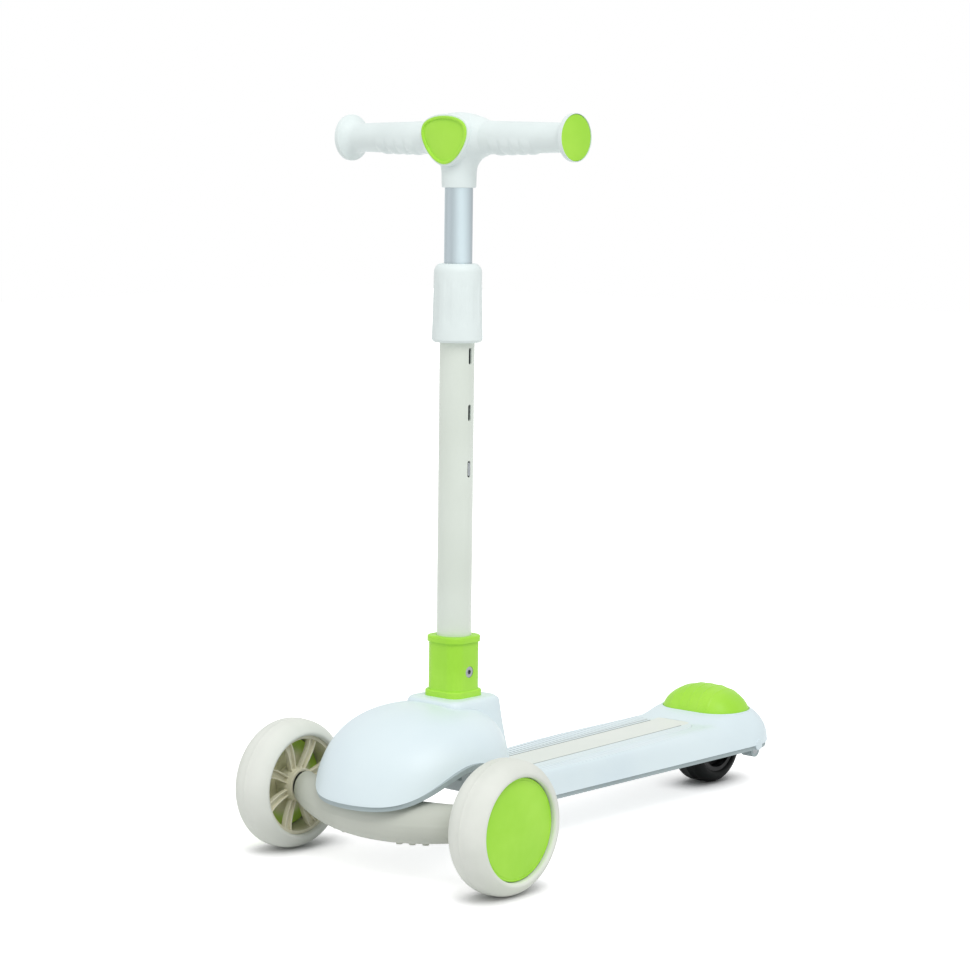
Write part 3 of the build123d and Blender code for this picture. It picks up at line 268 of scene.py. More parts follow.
def zincSteel(name, look):
    # plated steel: small blotches of tone and gloss
    material, shader, where = startFinish(name)
    blotch = where.noise(where, look["blotchScale"], 4.0, 0.65)
    feed(shader, Base_Color=tones(where, blotch, look), Metallic=1.0,
         Roughness=look["gloss"] + look["glossDrift"] * blotch,
         Normal=where.bump(blotch, look["bump"], look["bumpDepth"]))
    return material


# line is the colour of the painted shade in the grooves
padLook = {"light": (233, 238, 232), "dark": (228, 234, 228), "strip": (226, 238, 240),
           "line": (152, 162, 162), "lineAt": 19.3, "lineHalf": 0.9, "lineEdge": 0.4, "secondLine": 24.2,
           "secondShare": 0.7, "lineRear": 176.0, "driftScale": 20.0, "grainScale": 2000.0, "grain": 0.15,
           "gloss": 0.52, "glossDrift": 0.16, "bump": 0.5, "bumpDepth": 0.0005, "specular": 0.3,
           "studs": {**studs, "inner": 25.8, "outer": 33.4}}


def studdedPad(name, look):
    # soft pad: a cream middle, and paler strips with a groove line and small studs along each; the groove
    # lines and the hollows between the studs are coloured darker as painted shade
    material, shader, where = startFinish(name)
    axes = where.node("ShaderNodeSeparateXYZ", {}, {0: where})
    along = Signal(axes.tree, axes.socket.node.outputs[1])
    reach = where.math("ABSOLUTE", axes)

    def lineMask(place, signal):
        off = where.math("ABSOLUTE", signal - place * mm)
        return 1 - off.between(look["lineHalf"] * mm, (look["lineHalf"] + look["lineEdge"]) * mm)

    # dark groove lines: painted shade in the grooves
    grooveShade = lineMask(look["lineAt"], reach) + look["secondShare"] * lineMask(-look["secondLine"], axes)
    grooveShade = grooveShade * (1 - along.between(look["lineRear"] * mm, (look["lineRear"] + 1) * mm))
    drift = where.noise(where, look["driftScale"], 3.0)
    plain = tones(where, drift.between(*driftSpan), look)
    beside = reach.between(look["lineAt"] * mm, (look["lineAt"] + 1) * mm)
    plain = where.blend(beside, plain, shade(*look["strip"]))
    plain = where.blend(grooveShade, plain, shade(*look["line"]))
    # the stud hollows sink in the bump and also take the darker hollow colour, painted shade
    hollows = studStrip(where, look["studs"])
    grain = where.noise(where, look["grainScale"], 2.0)
    feed(shader, Base_Color=where.blend(hollows, plain, shade(*look["studs"]["hollow"])),
         Roughness=look["gloss"] + look["glossDrift"] * drift, Specular_IOR_Level=look["specular"],
         Normal=where.bump(grain * look["grain"] - hollows, look["bump"], look["bumpDepth"]))
    return material


backLook = {"tan": (226, 224, 188), "green": (176, 214, 84), "tanTo": 22.0, "greenFrom": 39.0,
            "blotchScale": 60.0, "evenShare": 0.7, "blotchShare": 0.6, "gloss": 0.45, "glossDrift": 0.1,
            "grainScale": 2000.0, "grain": 0.12, "specular": 0.3}


def capBack(name, look):
    # the inside of the cap: tan by the boss, green by the rim, by the distance from the wheel's axis
    material, shader, where = startFinish(name)
    centre = (0.0, -layout["frontAxleY"] * mm, -layout["wheelZ"] * mm)
    flat = where.node("ShaderNodeMapping", {}, {"Vector": where, "Location": centre,
                                                "Scale": (0.0, 1.0, 1.0)})
    away = where.node("ShaderNodeVectorMath", {"operation": "LENGTH"}, {0: flat}, out=1)
    blotch = where.noise(where, look["blotchScale"], 3.0)
    share = away.between(look["tanTo"] * mm, look["greenFrom"] * mm)
    share = share * (look["evenShare"] + look["blotchShare"] * blotch)
    grain = where.noise(where, look["grainScale"], 2.0)
    feed(shader, Base_Color=where.blend(share.between(0.0, 1.0), shade(*look["tan"]), shade(*look["green"])),
         Roughness=look["gloss"] + look["glossDrift"] * blotch, Specular_IOR_Level=look["specular"],
         Normal=where.bump(grain, look["grain"], grainDepth))
    return material


finishes["capBack"] = capBack("capBack", backLook)
finishes["creamPaint"] = paintedTube("creamPaint", tubePaint)
finishes["bareAluminium"] = drawnTube("bareAluminium", drawnMetal)
finishes["platedSteel"] = zincSteel("platedSteel", zincMetal)
finishes["creamPad"] = studdedPad("creamPad", padLook)
slotFinish = {"white_moulding": "whiteShell", "white_grip": "whiteGrip", "grey_moulding": "greyTrim",
              "green_moulding": "limeGreen", "beige_beam": "beigeBeam", "tan_hub": "tanHub",
              "cream_tyre": "creamUrethane", "black_tyre": "blackUrethane", "black_plastic": "blackPlastic",
              "cream_tube": "creamPaint", "bare_tube": "bareAluminium", "cream_pad": "creamPad",
              "steel": "platedSteel", "urethane": "blackUrethane"}
print("finishes made:", len(finishes))


# mesh helpers: arrays of points in millimetres in, a piece on a body out
turnSteps = {"lobe": 40, "wheelRoom": 120, "frontTyre": 144, "cap": 144, "capBack": 96, "rim": 144,
             "boss": 72, "rearTyre": 128, "gripCap": 96}


def rounds(count):
    return np.linspace(0.0, 2 * math.pi, count, endpoint=False)


def smoothStep(value):
    share = np.clip(value, 0.0, 1.0)
    return share * share * (3 - 2 * share)


def mix(first, second, share):
    # a value part of the way from the first to the second
    return first + (second - first) * share


def rollIn(radius, share):
    # how far a quarter-round edge has drawn in, at a share of its depth
    return radius * (1 - np.sqrt(np.clip(1 - share ** 2, 0, 1)))


def nearLine(off, width):
    # 1 close to a line, 0 from three quarters of its width on, smooth between
    return smoothStep(1.5 - off / width * 2)


def unitRing(turn):
    # the points of a unit circle at these angles
    return np.stack([np.cos(turn), np.sin(turn)], -1)


def gridFaces(rows, cols, wrap):
    # each face joins a point with its neighbours ahead and below; wrap joins the last column to the first
    r, c = np.meshgrid(np.arange(rows - 1), np.arange(cols if wrap else cols - 1), indexing="ij")
    nextC = (c + 1) % cols
    faces = [r * cols + c, r * cols + nextC, (r + 1) * cols + nextC, (r + 1) * cols + c]
    return np.stack(faces, -1).reshape(-1, 4)


def skin(loops, wrap=True, ends=True):
    # rows of points become a surface; ends closes the first and last row with a fan to its own middle
    if ends:
        first = np.broadcast_to(loops[:1].mean(1, keepdims=True), loops[:1].shape)
        last = np.broadcast_to(loops[-1:].mean(1, keepdims=True), loops[-1:].shape)
        loops = np.concatenate([first, loops, last])
    return loops.reshape(-1, 3), gridFaces(*loops.shape[:2], wrap)


def together(parts):
    # several surfaces as one list of points and faces
    starts = np.cumsum([0] + [len(points) for points, faces in parts[:-1]])
    return (np.concatenate([points for points, faces in parts]),
            np.concatenate([faces + start for (points, faces), start in zip(parts, starts)]))


def swept(along, radius, centre, axis, start, turn):
    # rows of circles: a distance along the axis, and a radius that may change round the circle
    other = np.cross(axis, start)
    ring = np.cos(turn)[:, None] * start + np.sin(turn)[:, None] * other
    radius = np.broadcast_to(radius, (len(along), len(turn)))
    return centre + along[:, None, None] * axis + radius[..., None] * ring


def lathe(profile, centre, axis, count, ends=False):
    # a profile of (distance along, radius) points swept once round an axis: a ring, or closed at both ends
    along, radius = np.asarray(profile, float).T
    centre = np.asarray(centre, float)
    return skin(swept(along, radius[:, None], centre, axis, upright, rounds(count)), ends=ends)


def boxProfile(low, high, inner, outer):
    # a closed rectangle of (distance along, radius)
    return [(low, inner), (low, outer), (high, outer), (high, inner), (low, inner)]


def eased(corners, cut, steps=7, most=0.48):
    # inner corners of an open outline become parabolas that start and end a cut away from the corner, or
    # at most a share of the side
    p = np.asarray(corners, float)
    cut = np.broadcast_to(cut, len(p) - 2)[:, None]
    back, ahead = p[:-2] - p[1:-1], p[2:] - p[1:-1]
    backLength = np.linalg.norm(back, axis=1, keepdims=True)
    aheadLength = np.linalg.norm(ahead, axis=1, keepdims=True)
    a = (p[1:-1] + back / backLength * np.minimum(cut, most * backLength))[:, None]
    b = (p[1:-1] + ahead / aheadLength * np.minimum(cut, most * aheadLength))[:, None]
    t = np.linspace(0, 1, steps)[None, :, None]
    arcs = (1 - t) ** 2 * a + 2 * t * (1 - t) * p[1:-1][:, None] + t ** 2 * b
    return np.concatenate([p[:1], arcs.reshape(-1, p.shape[1]), p[-1:]])


def tangentArc(start, heading, end, steps=12):
    # the circle that leaves start along heading and passes through end
    start, heading, end = (np.asarray(v, float) for v in (start, heading, end))
    chord = end - start
    normal = np.array([-heading[1], heading[0]])
    normal = normal * np.sign(chord @ normal)
    radius = chord @ chord / (2 * chord @ normal)
    centre = start + normal * radius
    first, last = (np.arctan2(*(v - centre)[::-1]) for v in (start, end))
    spin = np.sign(normal[1] * heading[0] - normal[0] * heading[1])
    sweep = (last - first) * spin % (2 * math.pi) * spin
    turn = first + sweep * np.linspace(0, 1, steps)
    return centre + radius * unitRing(turn)


def evenSteps(loop, count):
    # points at even steps along a closed outline
    loop = np.concatenate([loop, loop[:1]])
    walked = np.concatenate([[0.0], np.cumsum(np.linalg.norm(np.diff(loop, axis=0), axis=1))])
    steps = np.linspace(0, walked[-1], count, endpoint=False)
    return np.stack([np.interp(steps, walked, line) for line in loop.T], -1)


def slabLoop(halfWidth, halfLength, corner, count, cornerSteps=16):
    # a rectangle with round corners, walked in even steps
    quarter = np.linspace(0, math.pi / 2, cornerSteps)
    turn = (quarter[None] + np.arange(4)[:, None] * math.pi / 2).reshape(-1)
    signX = np.repeat([1.0, -1.0, -1.0, 1.0], cornerSteps)
    signY = np.repeat([1.0, 1.0, -1.0, -1.0], cornerSteps)
    return evenSteps(np.stack([signX * (halfWidth - corner) + corner * np.cos(turn),
                               signY * (halfLength - corner) + corner * np.sin(turn)], -1), count)


def lifted(loop, z):
    # a flat outline raised to a height, or to a height for each of its points
    return np.concatenate([loop, np.broadcast_to(z, len(loop))[:, None]], -1)


def cleanMesh(mesh, outward=True, sharp=sharpEdge):
    # doubles merged, faces turned outwards, smooth shading up to a sharp edge
    work = bmesh.new()
    work.from_mesh(mesh)
    bmesh.ops.remove_doubles(work, verts=work.verts, dist=mergeGap)
    bmesh.ops.dissolve_degenerate(work, edges=work.edges, dist=mergeGap)
    if outward:
        bmesh.ops.recalc_face_normals(work, faces=work.faces)
    work.to_mesh(mesh)
    work.free()
    mesh.shade_smooth()
    mesh.set_sharp_from_angle(angle=math.radians(sharp))


def makeMesh(name, part, outward=True, sharp=sharpEdge):
    points, faces = part
    mesh = bpy.data.meshes.new(name)
    mesh.from_pydata((points * mm).tolist(), [], faces.tolist())
    cleanMesh(mesh, outward, sharp)
    return mesh


def makePiece(name, part, body, slotName, stands=(), finish=None, sharp=sharpEdge, outward=True):
    piece = bpy.data.objects.new(name, makeMesh(name, part, outward, sharp))
    bpy.context.scene.collection.objects.link(piece)
    piece.data.materials.append(finishes[finish or slotFinish[slotName]])
    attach(piece, body)
    if stands:
        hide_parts(*stands)
    return piece


def carve(piece, cutters, sharp=sharpEdge):
    # cuts closed surfaces out of a closed piece and keeps the result as its mesh
    tools = []
    for number, part in enumerate(cutters):
        tool = bpy.data.objects.new(f"cutter{number}", makeMesh(f"cutter{number}", part))
        bpy.context.scene.collection.objects.link(tool)
        cut = piece.modifiers.new(f"cut{number}", "BOOLEAN")
        cut.operation = "DIFFERENCE"
        cut.solver = "MANIFOLD"
        cut.object = tool
        tools.append(tool)
    bpy.context.view_layer.update()
    result = bpy.data.meshes.new_from_object(piece.evaluated_get(bpy.context.evaluated_depsgraph_get()))
    piece.modifiers.clear()
    piece.data = result
    cleanMesh(result, False, sharp)
    for tool in tools:
        bpy.data.objects.remove(tool)
    return piece


def dressed(node, body, slotName):
    # a merged copy of a solid's own mesh, so that its round faces shade smoothly
    mesh = nodes[node].data
    points = np.zeros(len(mesh.vertices) * 3)
    corners = np.zeros(len(mesh.loops), int)
    mesh.vertices.foreach_get("co", points)
    mesh.loops.foreach_get("vertex_index", corners)
    part = (points.reshape(-1, 3) / mm, corners.reshape(-1, 3))
    return makePiece(f"{node}_dressed", part, body, slotName, (node,), sharp=28.0, outward=False)


# lower edge of the white mouldings: an arch over the front beam, then level along the deck
edgeShape = {"nose": (-291.0, 72.0), "arch": (-205.0, 105.0), "end": (-83.0, 46.0), "ease": 0.37,
             "tailY": 320.0, "halfWidth": 200.0, "floorZ": -20.0}


def bezier(a, b, c, d, steps=80):
    t = np.linspace(0, 1, steps)[:, None]
    a, b, c, d = (np.asarray(v, float) for v in (a, b, c, d))
    return (1 - t) ** 3 * a + 3 * t * (1 - t) ** 2 * b + 3 * t ** 2 * (1 - t) * c + t ** 3 * d


def levelRun(a, b):
    # a curve that leaves one point level and comes level into the next
    ease = edgeShape["ease"] * (b[0] - a[0])
    return bezier(a, (a[0] + ease, a[1]), (b[0] - ease, b[1]), b)


edgeCurve = np.concatenate([levelRun(edgeShape["nose"], edgeShape["arch"]),
                            levelRun(edgeShape["arch"], edgeShape["end"])[1:],
                            [(edgeShape["tailY"], edgeShape["end"][1])]])


def edgeHeight(y):
    return np.interp(y, edgeCurve[:, 0], edgeCurve[:, 1])


def belowEdge():
    # everything under the edge, as a long box whose top follows the curve
    y, top = edgeCurve.T
    wide, low = np.full_like(top, edgeShape["halfWidth"]), np.full_like(top, edgeShape["floorZ"])
    corners = ((wide, top), (-wide, top), (-wide, low), (wide, low))
    return skin(np.stack([np.stack([x, y, z], -1) for x, z in corners], 1))


# neck tower under the stem
towerShape = {"footZ": 60.0, "footHalfWidth": 41.0, "footFront": -183.0, "footRear": -97.0,
              "topZ": 151.5, "topHalfWidth": 31.5, "topFront": -178.0, "topRear": -112.0, "corner": 11.0,
              "topRound": 5.0, "around": 160, "rows": 40, "waist": 1.2}


def towerLoops(grow, roundTop=True):
    # round-cornered rectangles that shrink from foot to top with a slight waist; the top edge rolls over in
    # an arc, and its plane is square to the stem
    shape = towerShape
    share = np.linspace(0, 1, shape["rows"])
    z = mix(shape["footZ"], shape["topZ"], share)
    waist = shape["waist"] * np.sin(math.pi * share)
    halfWidth, front, rear = (mix(shape["foot" + k], shape["top" + k], share)
                              for k in ("HalfWidth", "Front", "Rear"))
    halfWidth, front, rear = halfWidth - waist + grow, front - grow, rear - waist + grow
    levels = [lifted(slabLoop(w, (r - f) / 2, shape["corner"], shape["around"]) + [0.0, (r + f) / 2], h)
              for w, f, r, h in zip(halfWidth, front, rear, z)]
    loops = np.stack(levels)
    platform = layout["platformZ"] + grow - math.tan(rake) * (loops[..., 1] - layout["stemFootY"])
    depth = np.clip(loops[..., 2] - (platform - shape["topRound"]), 0, None)
    drop = np.clip(depth / shape["topRound"], 0, 1) if roundTop else np.zeros_like(depth)
    inset = rollIn(shape["topRound"], drop)
    middle = np.stack([np.zeros(len(z)), (front + rear) / 2], -1)[:, None]
    away = loops[..., :2] - middle
    loops[..., :2] = middle + away * (1 - inset / np.linalg.norm(away, axis=-1))[..., None]
    loops[..., 2] = np.minimum(loops[..., 2], platform)
    return loops


neckTower = makePiece("neck_tower", skin(towerLoops(0.0)), "deck", "white_moulding", ("deck_shell",))
carve(neckTower, [belowEdge()])

# nose cover
noseShape = {"centreY": -204.0, "halfWidth": 84.0, "halfLength": 87.0, "baseZ": 72.9, "height": 71.7,
             "leanBack": 20.0, "roundness": 2.64, "wall": 3.0, "around": 200, "rows": 64, "towerGap": 0.2,
             "settle": 0.4, "settleSteps": 80, "highest": 0.9}


def noseLoops(inset):
    # ellipses that shrink as (1 - level^p)^(1/p) and lean back as they rise; the lowest point of each column
    # is found where it meets the lower edge
    shape = noseShape
    turn = rounds(shape["around"])
    power = shape["roundness"]
    height = shape["height"] - inset

    def place(level):
        up = np.clip(level, 0, 1)
        share = (1 - up ** power) ** (1 / power)
        x = (shape["halfWidth"] - inset) * share * np.sin(turn)
        y = shape["centreY"] + shape["leanBack"] * up - (shape["halfLength"] - inset) * share * np.cos(turn)
        return np.stack([x, y, shape["baseZ"] + height * level], -1)

    lowest = np.zeros(len(turn))
    for step in range(shape["settleSteps"]):
        wanted = (edgeHeight(place(lowest)[:, 1]) - shape["baseZ"]) / height
        wanted = np.minimum(wanted, shape["highest"])
        lowest = (1 - shape["settle"]) * lowest + shape["settle"] * wanted
    first = np.arcsin(np.clip(lowest, 0, 1) ** (power / 2))
    climb = np.linspace(0, 1, shape["rows"])[:, None]
    level = np.sin(mix(first, math.pi / 2, climb)) ** (2 / power)
    return place(np.concatenate([lowest[None], level]))


noseShell = skin(np.concatenate([noseLoops(0.0)[::-1], noseLoops(noseShape["wall"])]), ends=False)
noseCover = makePiece("nose_shell", noseShell, "deck", "white_moulding", ("nose_cover",))
carve(noseCover, [skin(towerLoops(noseShape["towerGap"], roundTop=False))])

# form of the brake dome, which the bay in the deck follows
bayShape = {"centreY": 242.5, "halfWidth": 45.7, "halfLength": 31.8, "corner": 29.3, "rise": 7.0, "gap": 0.5,
            "reachSide": 19.0, "reachFront": 28.0, "reachRear": 17.0}
brakeShape = {"halfWidth": 47.0, "halfLength": 32.5, "corner": 30.0, "skirtZ": 66.0, "topZ": 100.0,
              "wall": 3.0, "roundness": 2.2, "ribSpacing": 11.0, "ribReach": 27.5, "ribWidth": 1.8,
              "ribHeight": 0.42, "ribFootZ": 79.0, "ribHalfLength": 32.5, "ribEase": 3.0, "tipShare": 1e-4,
              "around": 320, "rows": 84}


def brakeLoops(inset, ribbed=False):
    # round-cornered slabs that shrink as (1 - level^p)^(1/p); five ribs swell out along the length
    shape = brakeShape
    power = shape["roundness"]
    level = np.sin(np.linspace(0, math.pi / 2, shape["rows"])) ** (2 / power)
    share = (1 - np.minimum(level, 1.0) ** power) ** (1 / power)
    share = np.maximum(share, shape["tipShare"])[:, None, None]

    def form(gap):
        sizes = (shape[k] - gap for k in ("halfWidth", "halfLength", "corner"))
        loop = slabLoop(*sizes, shape["around"])
        plan = loop[None] * share + [0.0, bayShape["centreY"]]
        z = shape["skirtZ"] + level * (shape["topZ"] - gap - shape["skirtZ"])
        return np.concatenate([plan, np.broadcast_to(z[:, None, None], (*plan.shape[:2], 1))], -1)

    plain = form(inset)
    if not ribbed:
        return plain
    x, y, z = plain[..., 0], plain[..., 1] - bayShape["centreY"], plain[..., 2]
    offRib = np.abs((x + shape["ribSpacing"] / 2) % shape["ribSpacing"] - shape["ribSpacing"] / 2)
    rib = nearLine(offRib, shape["ribWidth"]) * (np.abs(x) < shape["ribReach"])
    rib = rib * smoothStep((z - shape["ribFootZ"]) / shape["ribEase"])
    rib = rib * smoothStep((shape["ribHalfLength"] - np.abs(y)) / shape["ribEase"])
    return mix(plain, form(inset - shape["ribHeight"]), rib[..., None])


# deck moulding
deckShape = {"frontY": -141.0, "frontHalfWidth": 46.0, "rearHalfWidth": 69.0, "tailY": 291.0,
             "tailRadius": 50.0, "topZ": 70.0, "wall": 3.0, "softFrom": 20.0, "softOver": 220.0,
             "fullFrom": 225.0, "fullOver": 40.0, "alongSteps": 150, "arcSteps": 40, "acrossSteps": 70,
             "sectionSteps": 22, "clearZ": 120.0}
frontSection = {"foot": (0.0, 46.0), "side": (2.5, 57.0), "shoulder": (2.5, 70.0), "top": (7.5, 70.0)}
rearSection = {"foot": (0.0, 46.0), "side": (4.0, 56.0), "shoulder": (10.0, 70.0), "top": (24.5, 70.0)}
tailSection = {"foot": (0.0, 46.0), "side": (0.2, 60.0), "shoulder": (4.0, 71.0), "top": (24.5, 70.0)}
padShape = {"halfWidth": 32.5, "frontY": -91.0, "rearY": 190.0, "corner": 22.0, "recess": 1.5, "gap": 0.2,
            "stand": 0.4, "bandHalfWidth": 18.2, "bandRise": 0.25, "grooveWidth": 1.6, "grooveDepth": 0.7,
            "edgeRound": 0.5, "bandEdge": 0.8, "bandFrontShare": 0.4, "bandFrontEase": 6.0,
            "bandRearGap": 3.0, "grooveEndGap": 6.0, "endEase": 2.0}
lobeShape = {"x": 64.0, "z": 46.0, "radius": 5.5, "thickness": 4.0, "round": 0.8}


def humpRise(x, y):
    # the deck swells up to the brake bay: full height at the bay's outline, nothing a reach away from it
    shape = bayShape
    overX = np.maximum(np.abs(x) - shape["halfWidth"] + shape["corner"], 0)
    overY = np.maximum(np.abs(y - shape["centreY"]) - shape["halfLength"] + shape["corner"], 0)
    outside = np.maximum(np.hypot(overX, overY) - shape["corner"], 0)
    slant = overX ** 2 / np.maximum(overX ** 2 + overY ** 2, 1e-9)
    reachY = np.where(y < shape["centreY"], shape["reachFront"], shape["reachRear"])
    reach = shape["reachSide"] * slant + reachY * (1 - slant)
    return shape["rise"] * (1 - smoothStep(outside / reach))


def deckSurface():
    # a side section carried along each side and round the tail corner, joined by straight lines across the
    # top; its shoulder softens from the front section to the rear one, and the tail's is fuller
    shape = deckShape
    run = np.array([shape["rearHalfWidth"] - shape["frontHalfWidth"], shape["tailY"] - shape["frontY"]])
    run = run / np.linalg.norm(run)
    inward = np.array([-run[1], run[0]])
    start = np.array([shape["frontHalfWidth"], shape["frontY"]])
    radius = shape["tailRadius"]
    length = (shape["tailY"] - radius - start[1] - radius * inward[1]) / run[1]
    arcCentre = start + run * length + inward * radius
    steps = np.linspace(0, length, shape["alongSteps"])[:, None]
    turn = np.linspace(math.atan2(-inward[1], -inward[0]), math.pi / 2, shape["arcSteps"])[1:]
    ring = unitRing(turn)
    path = np.concatenate([start + run * steps, arcCentre + radius * ring])
    normal = np.concatenate([np.broadcast_to(inward, (len(steps), 2)), -ring])
    early, late, full = (bezier(*section.values(), steps=shape["sectionSteps"])
                         for section in (frontSection, rearSection, tailSection))
    soft = smoothStep((path[:, 1] - shape["softFrom"]) / shape["softOver"])[:, None, None]
    filled = smoothStep((path[:, 1] - shape["fullFrom"]) / shape["fullOver"])[:, None, None]
    profile = mix(mix(early, late, soft), full, filled)
    left = path[:, None] + normal[:, None] * profile[..., :1]
    left = np.concatenate([left, profile[..., 1:]], -1)
    share = np.linspace(1, -1, shape["acrossSteps"])[None, 1:-1, None]
    across = left[:, -1:] * np.concatenate([share, np.ones_like(share), np.ones_like(share)], -1)
    right = left[:, ::-1] * [-1.0, 1.0, 1.0]
    main = np.concatenate([left, across, right], 1)
    tailX = arcCentre[0] * np.linspace(1, -1, shape["acrossSteps"])
    tail = np.stack(np.broadcast_arrays(tailX[None], shape["tailY"] - full[:, :1], full[:, 1:]), -1)
    for grid in (main, tail):
        grid[..., 2] = grid[..., 2] + humpRise(grid[..., 0], grid[..., 1])
    return together([skin(main, wrap=False, ends=False), skin(tail, wrap=False, ends=False)])


def slabBlock(halfWidth, halfLength, corner, middleY, low, high, count=160):
    # an upright block with a round-cornered outline
    loop = slabLoop(halfWidth, halfLength, corner, count) + [0.0, middleY]
    return skin(np.stack([lifted(loop, low), lifted(loop, high)]))


deckMoulding = makePiece("deck_moulding", deckSurface(), "deck", "white_moulding", ("deck_shell",),
                         "whiteDeck")
if deckMoulding.data.polygons[0].normal.x < 0:
    deckMoulding.data.flip_normals()
thick = deckMoulding.modifiers.new("wall", "SOLIDIFY")
thick.thickness = deckShape["wall"] * mm
thick.offset = -1.0
padMiddle = (padShape["frontY"] + padShape["rearY"]) / 2
padHalfLength = (padShape["rearY"] - padShape["frontY"]) / 2
carve(deckMoulding, [
    belowEdge(),
    skin(brakeLoops(-bayShape["gap"])),
    slabBlock(padShape["halfWidth"] + padShape["gap"], padHalfLength + padShape["gap"], padShape["corner"],
              padMiddle, deckShape["topZ"] - padShape["recess"], deckShape["clearZ"])])

# rolled lip round the brake bay, and the two lobes over the rear axle's ends
bayLip = {"radius": 1.0, "sink": 0.6, "around": 200, "section": 14}
lipSizes = (bayShape[k] + bayLip["radius"] for k in ("halfWidth", "halfLength", "corner"))
lipLoop = slabLoop(*lipSizes, bayLip["around"])
lipOut = np.roll(lipLoop, -1, 0) - np.roll(lipLoop, 1, 0)
lipOut = np.stack([lipOut[:, 1], -lipOut[:, 0]], -1) / np.linalg.norm(lipOut, axis=1, keepdims=True)
lipTurn = rounds(bayLip["section"])
lipPlan = lipLoop[:, None] + [0.0, bayShape["centreY"]]
lipPlan = lipPlan + bayLip["radius"] * np.cos(lipTurn)[:, None] * lipOut[:, None]
lipHeight = deckShape["topZ"] + humpRise(lipLoop[:, 0], lipLoop[:, 1] + bayShape["centreY"]) - bayLip["sink"]
lipHeight = lipHeight[:, None] + bayLip["radius"] * np.sin(lipTurn)
lipGrid = np.concatenate([lipPlan, lipHeight[..., None]], -1)
lipGrid = np.concatenate([lipGrid, lipGrid[:1]])
makePiece("brake_bay_lip", skin(lipGrid, ends=False), "deck", "white_moulding", ("deck_shell",))

lobeHalf = lobeShape["thickness"] / 2
lobeR = lobeShape["radius"]
lobeProfile = eased([(-lobeHalf, 0), (-lobeHalf, lobeR), (lobeHalf, lobeR), (lobeHalf, 0)],
                    lobeShape["round"])
lobeCentres = [(outSide * lobeShape["x"], layout["rearAxleY"], lobeShape["z"]) for side, outSide in bothSides]
lobes = [lathe(lobeProfile, centre, sideways, turnSteps["lobe"], True) for centre in lobeCentres]
makePiece("axle_lobes", together(lobes), "deck", "white_moulding", ("deck_shell",))
print("white mouldings made")


# foot pad
padGrid = {"columns": 120, "rows": 220}


def padSurface():
    # lines across the pad, each as wide as the outline there; a raised middle band between two grooves
    shape = padShape
    y = np.linspace(shape["frontY"], shape["rearY"], padGrid["rows"])
    fromEnd = np.minimum(y - shape["frontY"], shape["rearY"] - y)
    bite = np.clip(shape["corner"] - fromEnd, 0, shape["corner"])
    half = shape["halfWidth"] - shape["corner"] + np.sqrt(np.clip(shape["corner"] ** 2 - bite ** 2, 0, None))
    share = np.sin(np.linspace(-math.pi / 2, math.pi / 2, padGrid["columns"]))
    share = 0.5 * share + 0.5 * np.linspace(-1, 1, padGrid["columns"])
    x = half[:, None] * share[None]
    toEdge = np.minimum(half[:, None] - np.abs(x), fromEnd[:, None])
    roll = np.clip(1 - toEdge / shape["edgeRound"], 0, 1)
    top = deckShape["topZ"] + shape["stand"] + humpRise(x, np.broadcast_to(y[:, None], x.shape))
    top = top - rollIn(shape["edgeRound"], roll)
    inBand = smoothStep((shape["bandHalfWidth"] - np.abs(x)) / shape["bandEdge"] + 0.5)
    fromFront = y[:, None] - shape["frontY"] - shape["corner"] * shape["bandFrontShare"]
    inBand = inBand * smoothStep(fromFront / shape["bandFrontEase"])
    inBand = inBand * smoothStep((shape["rearY"] - shape["bandRearGap"] - y[:, None]) / shape["endEase"])
    grooveX = shape["bandHalfWidth"] + shape["grooveWidth"] / 2
    groove = nearLine(np.abs(np.abs(x) - grooveX), shape["grooveWidth"])
    groove = groove * smoothStep((fromEnd[:, None] - shape["grooveEndGap"]) / shape["endEase"])
    z = top + shape["bandRise"] * inBand - shape["grooveDepth"] * groove
    y = np.broadcast_to(y[:, None], x.shape)
    upper = np.stack([x, y, z], -1)
    lower = np.stack([x, y, np.full_like(x, deckShape["topZ"] - shape["recess"])], -1)
    return skin(np.concatenate([upper, lower[:, ::-1]], 1), ends=False)


makePiece("foot_pad", padSurface(), "deck", "cream_pad", ("deck_pad",), sharp=50.0)
print("foot pad made")


# brake pedal
brakeShell = skin(np.concatenate([brakeLoops(0.0, True)[::-1], brakeLoops(brakeShape["wall"])]))
brakeArm = {"start": 20.5, "length": 8.0, "pinY": 205.0, "pinZ": 64.0, "barrel": 4.2, "bore": 2.6,
            "round": 0.6, "plateStart": 4.5, "plateReach": 14.0, "plateHalf": 3.0, "plateRound": 1.2,
            "plateLift": 1.0, "around": 40}
armSleeve = eased(boxProfile(0, brakeArm["length"], brakeArm["bore"], brakeArm["barrel"]), brakeArm["round"])
plateLoop = slabLoop(brakeArm["plateHalf"], brakeArm["plateReach"] / 2, brakeArm["plateRound"],
                     brakeArm["around"])
plateY = plateLoop[:, 1] + brakeArm["pinY"] + brakeArm["plateStart"] + brakeArm["plateReach"] / 2
plateZ = plateLoop[:, 0] + brakeArm["pinZ"] + brakeArm["plateLift"]
armParts = []
for side, outSide in bothSides:
    armRoot = (outSide * brakeArm["start"], brakeArm["pinY"], brakeArm["pinZ"])
    armParts.append(lathe(armSleeve, armRoot, sideways * outSide, brakeArm["around"]))
    armX = outSide * (brakeArm["start"] + np.array([0.0, brakeArm["length"]]))
    armParts.append(skin(np.stack([np.stack([np.full_like(plateY, x), plateY, plateZ], -1) for x in armX])))
brakeDome = makePiece("brake_dome", brakeShell, "brake", "green_moulding", ("brake_pedal",))
wheelRoom = {"radius": 45.0, "halfWidth": 20.0}
roomEnds = [(-wheelRoom["halfWidth"], wheelRoom["radius"]), (wheelRoom["halfWidth"], wheelRoom["radius"])]
rearCentre = (0.0, layout["rearAxleY"], layout["rearWheelZ"])
